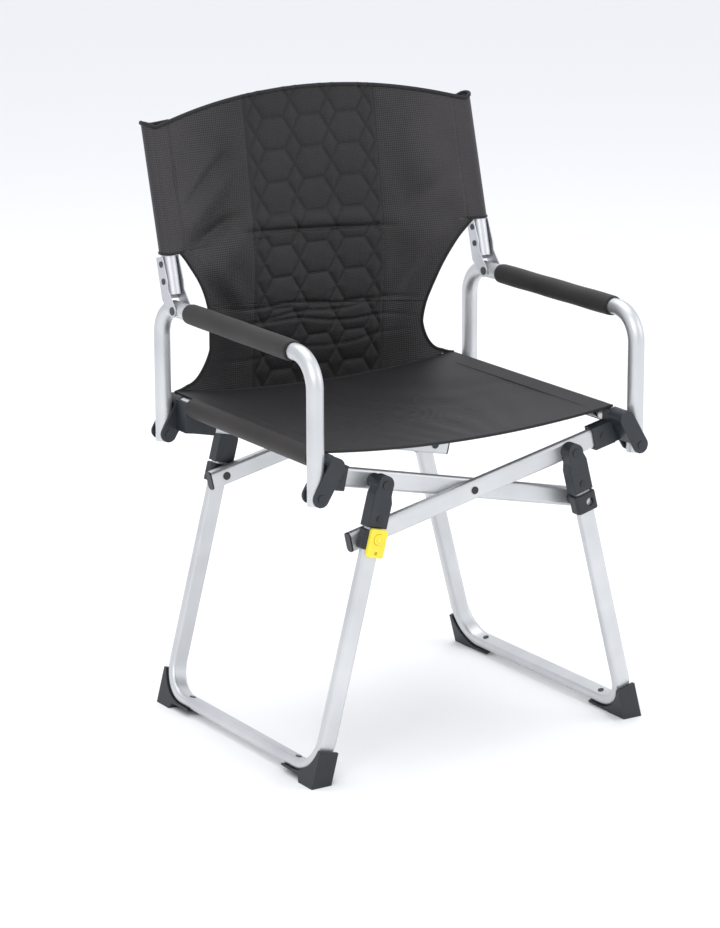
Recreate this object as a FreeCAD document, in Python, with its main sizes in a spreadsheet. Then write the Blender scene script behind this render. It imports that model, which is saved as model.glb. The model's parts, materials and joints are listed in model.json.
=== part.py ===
"""Folding director chair: two U-shaped leg frames, a scissor of flat oval bars, swinging arm frames,
a backrest that folds forward on two channel hinges, and a hung seat and back sheet.

Millimetres. +X is to the right of someone facing the chair, +Y to its back, +Z up.
The origin is on the floor, at the middle of the chair's box.
"""
import FreeCAD, Part
import math
import os
import Sketcher

doc = FreeCAD.newDocument("director_chair")
Vector = FreeCAD.Vector

# ---------------------------------------------------------------- driving sizes

SIZES = {
    # scissor linkage, seen from the front
    "open_angle": 12.5,
    "cross_drop": 75,
    "reach_up": 164.3,
    "reach_down": 184.4,
    "layer_middle": -10,
    # leg frames
    "leg_half_span": 211,
    "leg_wide": 27,
    "leg_thick": 15,
    "leg_corner": 6,
    "leg_wall": 1.5,
    "leg_bend": 50,
    "leg_start": 20,
    "sole_drop": 17,
    # feet
    "foot_wide": 31,
    "foot_wall": 3.5,
    "foot_rise": 34,
    "foot_strip": 76,
    "foot_toe": 24,
    "foot_lip": 3.2,
    "foot_rivet_inset": 60,
    # leg brackets and collars
    "bracket_wide": 32,
    "bracket_thick": 20,
    "bracket_foot": 61,
    "bracket_head": 13,
    "bracket_round": 2,
    "bracket_rivet_drop": 48,
    "boss_radius": 10.5,
    "collar_wide": 36,
    "collar_high": 28,
    "collar_front": 4.5,
    "collar_back": 2.2,
    "collar_corner": 6,
    "collar_window": 6.3,
    # lock on the front left collar
    "lock_wide": 27,
    "lock_high": 40,
    "lock_thick": 6,
    "lock_rise": 3,
    "lock_corner": 4,
    "button_radius": 7.5,
    "button_travel": 2,
    "button_proud": 2.2,
    "button_slot": 1.6,
    "spring_radius": 4.5,
    "spring_wire": 0.5,
    "spring_turns": 4,
    # bars
    "bar_high": 28,
    "bar_thick": 14,
    "bar_corner": 5,
    "bar_wall": 1.5,
    "bar_tail": 24,
    "bar_top": 240,
    "bar_gap": 0.5,
    "plug_flange": 2.5,
    "plug_tongue": 14,
    # corner fittings, seat rails and arm pivots
    "rail_x": 245,
    "rail_height": 457,
    "rail_radius": 11,
    "rail_wall": 1.5,
    "arm_x": 270,
    "arm_pivot_drop": 41,
    "ear_radius": 12.5,
    "ear_thick": 4,
    "ear_gap": 0.5,
    "socket_from": 210,
    "socket_wall": 2.8,
    "socket_rivet": 226,
    "block_top": 9,
    "post_relief": 17.6,
    # arm frames
    "post_inset": 1.5,
    "arm_radius": 12,
    "arm_wall": 1.5,
    "arm_height": 608,
    "arm_bend": 45,
    "post_tail": 12,
    "pad_radius": 15,
    "pad_front": -168,
    "pad_back": 118,
    "pad_chamfer": 2.5,
    # backrest hinge and uprights
    "hinge_y": 146,
    "recline": 15,
    "back_offset": 13,
    "back_radius": 10.5,
    "back_wall": 1.5,
    "back_start": 24,
    "back_length": 236,
    "channel_gap": 0.3,
    "channel_wall": 1.5,
    "channel_lobe": 9.5,
    "channel_length": 80,
    "channel_low_rivet": 44,
    "channel_high_rivet": 69,
    "cap_high": 5,
    # fasteners
    "rivet_radius": 3.5,
    "rivet_head": 6,
    "rivet_head_high": 1,
    "small_rivet": 2.4,
    "small_head": 4.5,
    "cross_radius": 4,
    "cross_head": 5.5,
    "running": 0.05,
    "fit_gap": 0.15,
    "slide_gap": 0.35,
    "stand_off": 1,
    # sheets
    "cloth": 2,
    "cloth_gap": 0.4,
    "seat_front": -203,
    "seat_back": 208,
    "seat_sag": 15,
    "back_low_rise": 17,
    "back_top": 900,
    "back_shoulder": 862,
    "back_sleeve_low": 81,
    "waist_half": 186,
    "waist_height": 528,
    "skirt_half": 246,
    "back_seat_y": 212,
    "hem_edge_lead": 1,
    "waist_lead": 4,
    "waist_edge_lead": 8,
    "arm_level_lead": 5,
    "arm_level_edge_lead": 26,
    "chest_rise": 90,
    "blade_rise": 190,
    "blade_lag": 11,
    "top_lag": 25.5,
}

sheet = doc.addObject("Spreadsheet::Sheet", "dims")
for row, (word, size) in enumerate(SIZES.items(), start=1):
    sheet.set(f"A{row}", word)
    sheet.set(f"B{row}", str(size))
    sheet.setAlias(f"B{row}", word)
doc.recompute()


def d(word):
    """Expression text for one cell of the sheet."""
    return f"dims.{word}"


def number(text):
    """The present value of an expression."""
    value = sheet.evalExpression(text)
    return float(getattr(value, "Value", value))


# ---------------------------------------------------------------- expressions shared by pieces

COS_OPEN = "cos(dims.open_angle)"
SIN_OPEN = "sin(dims.open_angle)"
LEG_ANGLE = (
    f"atan((dims.reach_down - dims.reach_up) * {COS_OPEN}"
    f" / ((dims.reach_down + dims.reach_up) * {SIN_OPEN}))"
)
CROSS_HEIGHT = "(dims.rail_height - dims.cross_drop)"
ARM_PIVOT_HEIGHT = "(dims.rail_height - dims.arm_pivot_drop)"
PIVOT_X = f"(dims.reach_up * {COS_OPEN})"
PIVOT_Z = f"({CROSS_HEIGHT} + dims.reach_up * {SIN_OPEN})"
COLLAR_DROP = f"((dims.reach_down + dims.reach_up) * {SIN_OPEN} / cos({LEG_ANGLE}))"
RAIL_DROP = f"({PIVOT_Z} / cos({LEG_ANGLE}) - dims.sole_drop)"
COLLAR_INNER = "(dims.leg_half_span - dims.leg_thick / 2 - dims.slide_gap - dims.collar_back)"
COLLAR_OUTER = "(dims.leg_half_span + dims.leg_thick / 2 + dims.slide_gap + dims.collar_front)"
OUTER_BAR_FACE = f"({COLLAR_INNER} - dims.stand_off)"
INNER_BAR_FACE = f"({OUTER_BAR_FACE} - dims.bar_thick - dims.bar_gap)"
POST_OFFSET = "(dims.leg_half_span + dims.post_inset)"
EAR_INNER = f"({POST_OFFSET} - dims.arm_radius - dims.ear_gap)"
EAR_OUTER = f"({POST_OFFSET} + dims.arm_radius + dims.ear_gap)"
LEFT, RIGHT = -1, 1
FRONT, REAR = -1, 1
SIDES = {"left": LEFT, "right": RIGHT}
ENDS = {"front": FRONT, "rear": REAR}


def bar_face(side):
    """Distance of a bar's outer face from the middle layer: the right frame's bars lie outside."""
    return OUTER_BAR_FACE if side == RIGHT else INNER_BAR_FACE


# ---------------------------------------------------------------- helpers for bodies and sketches


def new_body(label):
    body = doc.addObject("PartDesign::Body", label)
    body.Label = label
    return body


def place(thing, x="0", y="0", z="0", axis=None, angle="0"):
    """Binds a placement to expressions; the turn is about one fixed axis."""
    if axis is not None:
        thing.Placement = FreeCAD.Placement(Vector(), FreeCAD.Rotation(Vector(*axis), 1))
        thing.setExpression("Placement.Rotation.Angle", angle)
    thing.setExpression("Placement.Base.x", x)
    thing.setExpression("Placement.Base.y", y)
    thing.setExpression("Placement.Base.z", z)


def new_sketch(body, role, offset=None):
    """A sketch on one of the body's origin planes, moved along the plane's normal by an expression."""
    sketch = body.newObject("Sketcher::SketchObject", f"{body.Label}_sketch")
    plane = next(f for f in body.Origin.OriginFeatures if f.Role == role)
    sketch.AttachmentSupport = [(plane, "")]
    sketch.MapMode = "FlatFace"
    if offset is not None:
        sketch.setExpression("AttachmentOffset.Base.z", offset)
    return sketch


def pin_point(sketch, item, position, x, y):
    """Fixes a point of the sketch at expressions for x and y."""
    for kind, text in (("DistanceX", x), ("DistanceY", y)):
        index = sketch.addConstraint(
            Sketcher.Constraint(kind, -1, 1, item, position, number(text))
        )
        sketch.setExpression(f"Constraints[{index}]", text)


def bind_radius(sketch, item, radius):
    index = sketch.addConstraint(Sketcher.Constraint("Radius", item, number(radius)))
    sketch.setExpression(f"Constraints[{index}]", radius)


def draw_circle(sketch, x, y, radius):
    centre = Vector(number(x), number(y), 0)
    item = sketch.addGeometry(Part.Circle(centre, Vector(0, 0, 1), number(radius)))
    bind_radius(sketch, item, radius)
    pin_point(sketch, item, 3, x, y)


def draw_outline(sketch, corners):
    """A closed loop of straight edges through corners given as pairs of expressions."""
    at = [Vector(number(x), number(y), 0) for x, y in corners]
    count = len(at)
    first = sketch.GeometryCount
    for i in range(count):
        sketch.addGeometry(Part.LineSegment(at[i], at[(i + 1) % count]))
    for i in range(count):
        sketch.addConstraint(
            Sketcher.Constraint("Coincident", first + i, 2, first + (i + 1) % count, 1)
        )
    for i, (x, y) in enumerate(corners):
        pin_point(sketch, first + i, 1, x, y)


def draw_box(sketch, x0, x1, y0, y1):
    draw_outline(sketch, [(x0, y0), (x1, y0), (x1, y1), (x0, y1)])


def draw_capsule(sketch, x0, y0, x1, y1, radius):
    """Two half circles about the given centres, joined by tangent lines."""
    a, b = Vector(number(x0), number(y0), 0), Vector(number(x1), number(y1), 0)
    r = number(radius)
    way = (b - a).normalize()
    turn = math.atan2(way.y, way.x)
    side = Vector(-way.y, way.x, 0) * r
    up = Vector(0, 0, 1)
    near = sketch.addGeometry(
        Part.ArcOfCircle(Part.Circle(a, up, r), turn + math.pi / 2, turn + 3 * math.pi / 2)
    )
    low = sketch.addGeometry(Part.LineSegment(a - side, b - side))
    far = sketch.addGeometry(
        Part.ArcOfCircle(Part.Circle(b, up, r), turn - math.pi / 2, turn + math.pi / 2)
    )
    high = sketch.addGeometry(Part.LineSegment(b + side, a + side))
    for one, other in ((near, low), (low, far), (far, high), (high, near)):
        sketch.addConstraint(Sketcher.Constraint("Tangent", one, 2, other, 1))
    bind_radius(sketch, near, radius)
    sketch.addConstraint(Sketcher.Constraint("Equal", near, far))
    pin_point(sketch, near, 3, x0, y0)
    pin_point(sketch, far, 3, x1, y1)


def draw_rounded_box(sketch, x, y, half_x, half_y, corner):
    """A rectangle about (x, y) with equal round corners."""
    cx, cy, hx, hy, r = (number(t) for t in (x, y, half_x, half_y, corner))
    up = Vector(0, 0, 1)
    signs = [(1, 1), (-1, 1), (-1, -1), (1, -1)]
    arcs = []
    for i, (sx, sy) in enumerate(signs):
        centre = Vector(cx + sx * (hx - r), cy + sy * (hy - r), 0)
        start = i * math.pi / 2
        circle = Part.Circle(centre, up, r)
        arcs.append(sketch.addGeometry(Part.ArcOfCircle(circle, start, start + math.pi / 2)))
    for i in range(4):
        one, other = arcs[i], arcs[(i + 1) % 4]
        line = sketch.addGeometry(
            Part.LineSegment(sketch.getPoint(one, 2), sketch.getPoint(other, 1))
        )
        sketch.addConstraint(Sketcher.Constraint("Tangent", one, 2, line, 1))
        sketch.addConstraint(Sketcher.Constraint("Tangent", line, 2, other, 1))
    bind_radius(sketch, arcs[0], corner)
    for arc, (sx, sy) in zip(arcs, signs):
        pin_point(
            sketch, arc, 3,
            f"({x}) + {sx} * (({half_x}) - ({corner}))", f"({y}) + {sy} * (({half_y}) - ({corner}))",
        )
    for arc in arcs[1:]:
        sketch.addConstraint(Sketcher.Constraint("Equal", arcs[0], arc))


def extrude(body, sketch, kind, length, low=None, midplane=False):
    """A pad or pocket along the sketch's normal. With low, it runs from low to length from the plane."""
    feature = body.newObject(f"PartDesign::{kind}", f"{body.Label}_{kind.lower()}")
    feature.Profile = sketch
    if low is not None:
        sketch.setExpression("AttachmentOffset.Base.z", low)
        feature.setExpression("Length", f"({length}) - ({low})")
        feature.Reversed = kind == "Pocket"
    else:
        feature.setExpression("Length", length)
        feature.Midplane = midplane
    return feature


def pad_between(body, role, low, high, draw, kind="Pad"):
    """Draws a profile on a plane moved to low along its normal, and runs it to high."""
    sketch = new_sketch(body, role, low)
    draw(sketch)
    return extrude(body, sketch, kind, high, low)


def along_y(body, near, far, draw, kind="Pad"):
    """A pad or pocket from y = near to y = far (near < far); the XZ plane's normal is -Y."""
    return pad_between(body, "XZ_Plane", f"-({far})", f"-({near})", draw, kind)


def layer(end, inner, outer):
    """Y limits, low first, of a layer between two distances from the middle layer."""
    if end == FRONT:
        return f"-({outer})", f"-({inner})"
    return inner, outer


def round_edges(body, radius, wanted):
    """Rounds the edges of the body's tip that the test picks."""
    doc.recompute()
    tip = body.Tip
    names = [f"Edge{i}" for i, edge in enumerate(tip.Shape.Edges, start=1) if wanted(edge)]
    fillet = body.newObject("PartDesign::Fillet", f"{body.Label}_round")
    fillet.Base = (tip, names)
    fillet.setExpression("Radius", radius)
    return fillet


def lies_at(edge, axis, value):
    """True where every vertex of the edge has the given coordinate."""
    return all(abs(getattr(v.Point, axis) - value) < 1e-4 for v in edge.Vertexes)


def tube_pipe(body, path, draw_outer, draw_inner, section_role, section_offset):
    """A hollow tube along a path sketch."""
    for kind, draw in (("AdditivePipe", draw_outer), ("SubtractivePipe", draw_inner)):
        section = new_sketch(body, section_role, section_offset)
        draw(section)
        pipe = body.newObject(f"PartDesign::{kind}", f"{body.Label}_{kind.lower()}")
        pipe.Profile = section
        pipe.Spine = path


def draw_path(sketch, points, radii):
    """An open path of straight runs joined by tangent arcs. points are pairs of expressions."""
    at = [Vector(number(x), number(y), 0) for x, y in points]
    last = len(at) - 1
    lines, arcs = [], []
    starts, stops = [at[0]], []
    for i in range(1, last):
        before, after = (at[i - 1] - at[i]).normalize(), (at[i + 1] - at[i]).normalize()
        half = before.getAngle(after) / 2
        reach = number(radii[i - 1]) / math.tan(half)
        centre = at[i] + (before + after).normalize() * (number(radii[i - 1]) / math.sin(half))
        stops.append(at[i] + before * reach)
        starts.append(at[i] + after * reach)
        arcs.append((centre, stops[-1], starts[-1], number(radii[i - 1])))
    stops.append(at[last])
    for start, stop in zip(starts, stops):
        lines.append(sketch.addGeometry(Part.LineSegment(start, stop)))
    for i, (centre, start, stop, radius) in enumerate(arcs):
        a0 = math.atan2(start.y - centre.y, start.x - centre.x)
        a1 = math.atan2(stop.y - centre.y, stop.x - centre.x)
        left_turn = (a1 - a0) % (2 * math.pi) < math.pi
        low, high = (a0, a1) if left_turn else (a1, a0)
        arc = sketch.addGeometry(
            Part.ArcOfCircle(Part.Circle(centre, Vector(0, 0, 1), radius), low, high)
        )
        first, second = (1, 2) if left_turn else (2, 1)
        sketch.addConstraint(Sketcher.Constraint("Tangent", lines[i], 2, arc, first))
        sketch.addConstraint(Sketcher.Constraint("Tangent", arc, second, lines[i + 1], 1))
        bind_radius(sketch, arc, radii[i])
    return lines


# ---------------------------------------------------------------- leg frames, feet


def on_leg(body, side):
    """The leg frame's own axes: origin midway between its two pivots, -Z down the legs."""
    place(
        body, f"{side} * {PIVOT_X}", d("layer_middle"), PIVOT_Z,
        axis=(0, 1, 0), angle=f"{-side} * {LEG_ANGLE}",
    )


def make_leg_frame(name, side):
    body = new_body(f"{name}_leg_frame")
    path = new_sketch(body, "YZ_Plane")
    span, top, foot = d("leg_half_span"), f"-{d('leg_start')}", f"-{RAIL_DROP}"
    corners = [(f"-{span}", top), (f"-{span}", foot), (span, foot), (span, top)]
    lines = draw_path(path, corners, [d("leg_bend"), d("leg_bend")])
    pin_point(path, lines[0], 1, *corners[0])
    pin_point(path, lines[2], 2, *corners[3])
    path.addConstraint(Sketcher.Constraint("Vertical", lines[0]))
    path.addConstraint(Sketcher.Constraint("Vertical", lines[2]))
    path.addConstraint(Sketcher.Constraint("Horizontal", lines[1]))
    index = path.addConstraint(Sketcher.Constraint("DistanceY", -1, 1, lines[1], 1, number(foot)))
    path.setExpression(f"Constraints[{index}]", foot)

    def section(shrink):
        def draw(sketch):
            draw_rounded_box(
                sketch, "0", f"-{span}",
                f"(dims.leg_wide / 2 - {shrink})", f"(dims.leg_thick / 2 - {shrink})",
                f"(dims.leg_corner - {shrink})",
            )
        return draw

    tube_pipe(body, path, section("0"), section(d("leg_wall")), "XY_Plane", top)
    for end in ENDS.values():
        near, far = layer(end, f"{span} - dims.bracket_thick", f"{span} + dims.bracket_thick")
        along_y(
            body, near, far,
            lambda s: draw_circle(s, "0", "-dims.bracket_rivet_drop", "dims.small_rivet + dims.running"),
            "Pocket",
        )
        pad_between(
            body, "XY_Plane", f"-{RAIL_DROP} - dims.leg_thick", f"-{RAIL_DROP} + dims.leg_thick",
            lambda s: draw_circle(
                s, "0", f"{end} * ({span} - dims.foot_rivet_inset)", "dims.small_rivet + dims.running"
            ),
            "Pocket",
        )
    on_leg(body, side)
    return body


def make_foot(name, side, end_name, end):
    """A moulded shoe on the outside of the bend, with a heel cut level with the floor."""
    body = new_body(f"{name}_{end_name}_foot")
    span, drop = d("leg_half_span"), RAIL_DROP
    out = f"({span} + dims.leg_thick / 2)"
    below = f"(-{drop} - dims.leg_thick / 2)"
    heel = f"(-{drop} - dims.sole_drop * 2)"
    corners = [
        (f"{out} - dims.foot_wall", f"-{drop} + dims.foot_rise"),
        (f"{out} + dims.foot_wall", f"-{drop} + dims.foot_rise"),
        (f"{out} + dims.foot_wall", heel),
        (f"{out} - dims.foot_toe", heel),
        (f"{out} - dims.foot_toe - dims.foot_wall * 4", f"{below} - dims.foot_lip * 1.4"),
        (f"{span} - dims.foot_strip", f"{below} - dims.foot_lip"),
        (f"{span} - dims.foot_strip", f"{below} + dims.foot_wall"),
    ]
    pad_between(
        body, "YZ_Plane", "-dims.foot_wide / 2", "dims.foot_wide / 2",
        lambda s: draw_outline(s, [(f"{end} * ({y})", z) for y, z in corners]),
    )
    centre_y, centre_z = f"({span} - dims.leg_bend)", f"(-{drop} + dims.leg_bend)"
    reach = "(dims.leg_bend + dims.leg_thick / 2 + dims.fit_gap)"
    pad_between(
        body, "YZ_Plane", "-dims.foot_wide", "dims.foot_wide",
        lambda s: draw_circle(s, f"{end} * {centre_y}", centre_z, reach), "Pocket",
    )
    pad_between(
        body, "YZ_Plane", "-dims.foot_wide", "dims.foot_wide",
        lambda s: draw_outline(s, [
            (f"{end} * {centre_y}", f"{centre_z} - {reach}"),
            (f"{end} * ({span} - dims.foot_strip * 2)", f"{centre_z} - {reach}"),
            (f"{end} * ({span} - dims.foot_strip * 2)", centre_z),
            (f"{end} * {centre_y}", centre_z),
        ]), "Pocket",
    )
    near, far = layer(end, f"{span} - dims.foot_strip * 2", f"{span} + dims.leg_bend")
    floor_at = [f"-({PIVOT_Z} + {side} * {x} * sin({LEG_ANGLE})) / cos({LEG_ANGLE})"
                for x in ("-dims.foot_wide", "dims.foot_wide")]
    along_y(
        body, near, far,
        lambda s: draw_outline(s, [
            ("-dims.foot_wide", floor_at[0]), ("dims.foot_wide", floor_at[1]),
            ("dims.foot_wide", f"{heel} - dims.foot_wide"),
            ("-dims.foot_wide", f"{heel} - dims.foot_wide"),
        ]), "Pocket",
    )
    pad_between(
        body, "XY_Plane", f"{below} - dims.foot_rise", f"{below} + dims.foot_rise",
        lambda s: draw_circle(
            s, "0", f"{end} * ({span} - dims.foot_rivet_inset)", "dims.small_rivet + dims.running"
        ), "Pocket",
    )
    on_leg(body, side)
    return body


# ---------------------------------------------------------------- leg brackets and collars


def make_leg_bracket(name, side, end_name, end):
    """A socket on the leg's top, ending in one thick ear; on the left a boss reaches the inner bar."""
    body = new_body(f"{name}_{end_name}_leg_bracket")
    near, far = layer(
        end, "dims.leg_half_span - dims.bracket_thick / 2", "dims.leg_half_span + dims.bracket_thick / 2"
    )
    half, head = "dims.bracket_wide / 2", "dims.bracket_head"
    along_y(body, near, far, lambda s: draw_circle(s, "0", "0", head))
    shoulders = [
        (f"{half}", f"-{head} * 1.1"), (f"{half}", "-dims.bracket_foot"),
        (f"-{half}", "-dims.bracket_foot"), (f"-{half}", f"-{head} * 1.9"),
        (f"-{head} * 0.98", f"-{head} * 1.1"), (f"-{head} * 0.98", f"{head} * 0.15"),
        (f"{head} * 0.6", f"{head} * 0.8"),
    ]
    along_y(body, near, far, lambda s: draw_outline(s, [(f"{side} * ({x})", z) for x, z in shoulders]))
    doc.recompute()
    face = number(f"{end} * ({d('leg_half_span')} + dims.bracket_thick / 2)")
    round_edges(body, "dims.bracket_round", lambda e: lies_at(e, "y", face))
    if side == LEFT:
        boss_near, boss_far = layer(
            end, f"{bar_face(side)} + dims.stand_off", f"{d('leg_half_span')}"
        )
        along_y(body, boss_near, boss_far, lambda s: draw_circle(s, "0", "0", "dims.boss_radius"))
    pad_between(
        body, "XY_Plane", "-dims.bracket_foot - dims.bracket_head", "-dims.leg_start + dims.fit_gap",
        lambda s: draw_rounded_box(
            s, "0", f"{end} * dims.leg_half_span",
            "dims.leg_wide / 2 + dims.fit_gap", "dims.leg_thick / 2 + dims.fit_gap",
            "dims.leg_corner + dims.fit_gap",
        ), "Pocket",
    )
    through = layer(
        end, "dims.leg_half_span - dims.bar_thick * 4", "dims.leg_half_span + dims.bracket_thick"
    )
    for drop, radius in (("0", "dims.rivet_radius"), ("-dims.bracket_rivet_drop", "dims.small_rivet")):
        along_y(body, *through, lambda s: draw_circle(s, "0", drop, f"{radius} + dims.running"), "Pocket")
    on_leg(body, side)
    return body


def on_collar(body, side):
    """The collar's own axes: those of the leg frame, moved down the leg to the collar's pivot."""
    place(
        body,
        f"{side} * ({PIVOT_X} + {COLLAR_DROP} * sin({LEG_ANGLE}))", d("layer_middle"),
        f"{PIVOT_Z} - {COLLAR_DROP} * cos({LEG_ANGLE})",
        axis=(0, 1, 0), angle=f"{-side} * {LEG_ANGLE}",
    )


def make_collar(name, side, end_name, end):
    """A slide round the leg; the right ones reach the inner bar with a boss."""
    body = new_body(f"{name}_{end_name}_collar")
    middle = f"({COLLAR_INNER} + {COLLAR_OUTER}) / 2"
    pad_between(
        body, "XY_Plane", "-dims.collar_high / 2", "dims.collar_high / 2",
        lambda s: draw_rounded_box(
            s, "0", f"{end} * {middle}", "dims.collar_wide / 2",
            f"({COLLAR_OUTER} - {COLLAR_INNER}) / 2", "dims.collar_corner",
        ),
    )
    top, low = number("dims.collar_high / 2"), number("-dims.collar_high / 2")
    round_edges(body, "dims.bracket_round", lambda e: lies_at(e, "z", top) or lies_at(e, "z", low))
    if side == RIGHT:
        near, far = layer(
            end, f"{INNER_BAR_FACE} + dims.stand_off", f"{COLLAR_INNER} + dims.collar_back / 2"
        )
        along_y(body, near, far, lambda s: draw_circle(s, "0", "0", "dims.boss_radius"))
    pad_between(
        body, "XY_Plane", "-dims.collar_high", "dims.collar_high",
        lambda s: draw_rounded_box(
            s, "0", f"{end} * dims.leg_half_span",
            "dims.leg_wide / 2 + dims.slide_gap", "dims.leg_thick / 2 + dims.slide_gap",
            "dims.leg_corner + dims.slide_gap",
        ), "Pocket",
    )
    wall_near, wall_far = layer(end, "dims.leg_half_span", f"{COLLAR_OUTER} + dims.collar_front")
    if end == FRONT and side == RIGHT:
        along_y(
            body, wall_near, wall_far,
            lambda s: draw_circle(s, "dims.collar_wide / 8", "0", "dims.collar_window"), "Pocket",
        )
    if end == FRONT and side == LEFT:
        along_y(
            body, wall_near, wall_far,
            lambda s: draw_circle(s, "0", "dims.lock_rise", "dims.spring_radius + dims.spring_wire * 2"),
            "Pocket",
        )
    on_collar(body, side)
    return body


LOCK_FACE = f"({COLLAR_OUTER} + dims.lock_thick)"


def make_lock_cover():
    """The cover over the lock: a round hole for the button and a small window below it."""
    body = new_body("lock_cover")
    near, far = layer(FRONT, COLLAR_OUTER, LOCK_FACE)
    middle = "(dims.lock_rise - dims.lock_high / 2 + dims.collar_high / 2)"
    along_y(
        body, near, far,
        lambda s: draw_rounded_box(
            s, "0", middle, "dims.lock_wide / 2", "dims.lock_high / 2", "dims.lock_corner"
        ),
    )
    face = number(f"-{LOCK_FACE}")
    round_edges(body, "dims.bracket_round / 2", lambda e: lies_at(e, "y", face))
    along_y(
        body, f"-{LOCK_FACE} - dims.lock_thick", f"-{COLLAR_OUTER} + dims.lock_thick",
        lambda s: draw_circle(s, "0", "dims.lock_rise", "dims.button_radius + dims.slide_gap"), "Pocket",
    )
    window = "dims.button_slot * 1.4"
    floor = f"({middle} - dims.lock_high / 2 + dims.lock_corner * 1.6)"
    along_y(
        body, f"-{LOCK_FACE} - dims.lock_thick", f"-{LOCK_FACE} + dims.lock_thick / 2",
        lambda s: draw_box(s, f"-{window}", window, f"{floor} - {window}", f"{floor} + {window}"), "Pocket",
    )
    on_collar(body, LEFT)
    return body


def make_lock_button():
    """A round button with a flange behind the cover and a ring groove in its face."""
    body = new_body("lock_button")
    along_y(
        body, f"-{LOCK_FACE} - dims.button_proud", f"-{COLLAR_OUTER} - dims.button_travel - dims.stand_off",
        lambda s: draw_circle(s, "0", "dims.lock_rise", "dims.button_radius"),
    )
    face = number(f"-{LOCK_FACE} - dims.button_proud")
    round_edges(body, "dims.bracket_round / 2", lambda e: lies_at(e, "y", face))
    groove = new_sketch(body, "XZ_Plane", f"{LOCK_FACE} + dims.button_proud")
    draw_circle(groove, "0", "dims.lock_rise", "dims.button_radius * 0.62")
    draw_circle(groove, "0", "dims.lock_rise", "dims.button_radius * 0.62 - dims.button_slot / 2")
    cut = body.newObject("PartDesign::Pocket", "lock_button_groove")
    cut.Profile = groove
    cut.setExpression("Length", "dims.button_slot / 2")
    on_collar(body, LEFT)
    return body


def make_lock_spring():
    """The coil that pushes the button out, between the leg and the button's back."""
    turns, wire, radius = (number(d(w)) for w in ("spring_turns", "spring_wire", "spring_radius"))
    start = number("-(dims.leg_half_span + dims.leg_thick / 2 + dims.slide_gap)") - wire
    stop = number(f"-{COLLAR_OUTER} - dims.stand_off") + 2 * wire
    length = start - stop
    helix = Part.makeHelix(length / turns, length, radius)
    section = Part.Wire(Part.Circle(Vector(radius, 0, 0), Vector(0, 1, 0), wire).toShape())
    coil = Part.Wire(helix).makePipeShell([section], True, True)
    coil.rotate(Vector(), Vector(1, 0, 0), 90)
    coil.translate(Vector(0, start, number("dims.lock_rise")))
    spring = doc.addObject("Part::Feature", "lock_spring")
    spring.Label = "lock_spring"
    spring.Shape = Part.makeCompound([coil])
    on_collar(spring, LEFT)
    return spring


# ---------------------------------------------------------------- scissor bars


def on_bar(body, side):
    """The bars' own axes: origin at the crossing, +X up the bar towards its own side."""
    place(
        body, "0", d("layer_middle"), CROSS_HEIGHT,
        axis=(0, 1, 0), angle=f"{-side} * dims.open_angle",
    )


def make_bar(name, side, end_name, end):
    body = new_body(f"{name}_{end_name}_bar")
    outer = bar_face(side)
    middle = f"({outer} - dims.bar_thick / 2)"
    low, high = "-(dims.reach_down + dims.bar_tail)", "dims.bar_top"
    ends = (low, high) if side == RIGHT else ("-dims.bar_top", "dims.reach_down + dims.bar_tail")

    def section(shrink):
        return lambda s: draw_rounded_box(
            s, f"{end} * {middle}", "0", f"(dims.bar_thick / 2 - {shrink})",
            f"(dims.bar_high / 2 - {shrink})", f"(dims.bar_corner - {shrink})",
        )

    pad_between(body, "YZ_Plane", ends[0], ends[1], section("0"))
    pad_between(
        body, "YZ_Plane", f"{ends[0]} - dims.bar_thick", f"{ends[1]} + dims.bar_thick",
        section(d("bar_wall")), "Pocket",
    )
    near, far = layer(end, f"{outer} - dims.bar_thick * 2", f"{outer} + dims.bar_thick")
    holes = [("0", "dims.cross_radius"), ("dims.reach_up", "dims.rivet_radius"),
             ("-dims.reach_down", "dims.rivet_radius"), ("dims.socket_rivet", "dims.small_rivet")]
    for reach, radius in holes:
        along_y(
            body, near, far, lambda s: draw_circle(s, f"{side} * {reach}", "0", f"{radius} + dims.running"),
            "Pocket",
        )
    on_bar(body, side)
    return body


def make_bar_plugs(name, side):
    """Plastic plugs in the lower ends of the front and the rear bar."""
    body_parts = []
    for end_name, end in ENDS.items():
        body = new_body(f"{name}_{end_name}_plug")
        middle = f"({bar_face(side)} - dims.bar_thick / 2)"
        tip = "(dims.reach_down + dims.bar_tail)"
        limits = [
            (f"{tip}", f"{tip} + dims.plug_flange", "0"),
            (f"{tip} - dims.plug_tongue", f"{tip}", "dims.bar_wall + dims.fit_gap"),
        ]
        for near, far, shrink in limits:
            low, high = (f"-({far})", f"-({near})") if side == RIGHT else (near, far)
            pad_between(
                body, "YZ_Plane", low, high,
                lambda s: draw_rounded_box(
                    s, f"{end} * {middle}", "0", f"(dims.bar_thick / 2 - ({shrink}))",
                    f"(dims.bar_high / 2 - ({shrink}))", f"(dims.bar_corner - ({shrink}))",
                ),
            )
        on_bar(body, side)
        body_parts.append(body)
    return group(f"{name}_bar_plugs", body_parts)


def group(label, pieces):
    """One node of several separate solids."""
    node = doc.addObject("Part::Compound", label)
    node.Label = label
    node.Links = pieces
    return node


# ---------------------------------------------------------------- corner fittings and seat rails


def on_corner(body, side):
    """The corner fitting's own axes: origin at the arm pivot."""
    place(body, f"{side} * dims.arm_x", d("layer_middle"), ARM_PIVOT_HEIGHT)


def socket_face(side):
    """Distance of the face outside the bar's end: the left fitting is solid out to its ear."""
    return f"({bar_face(side)} + dims.socket_wall)" if side == RIGHT else EAR_INNER


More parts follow.
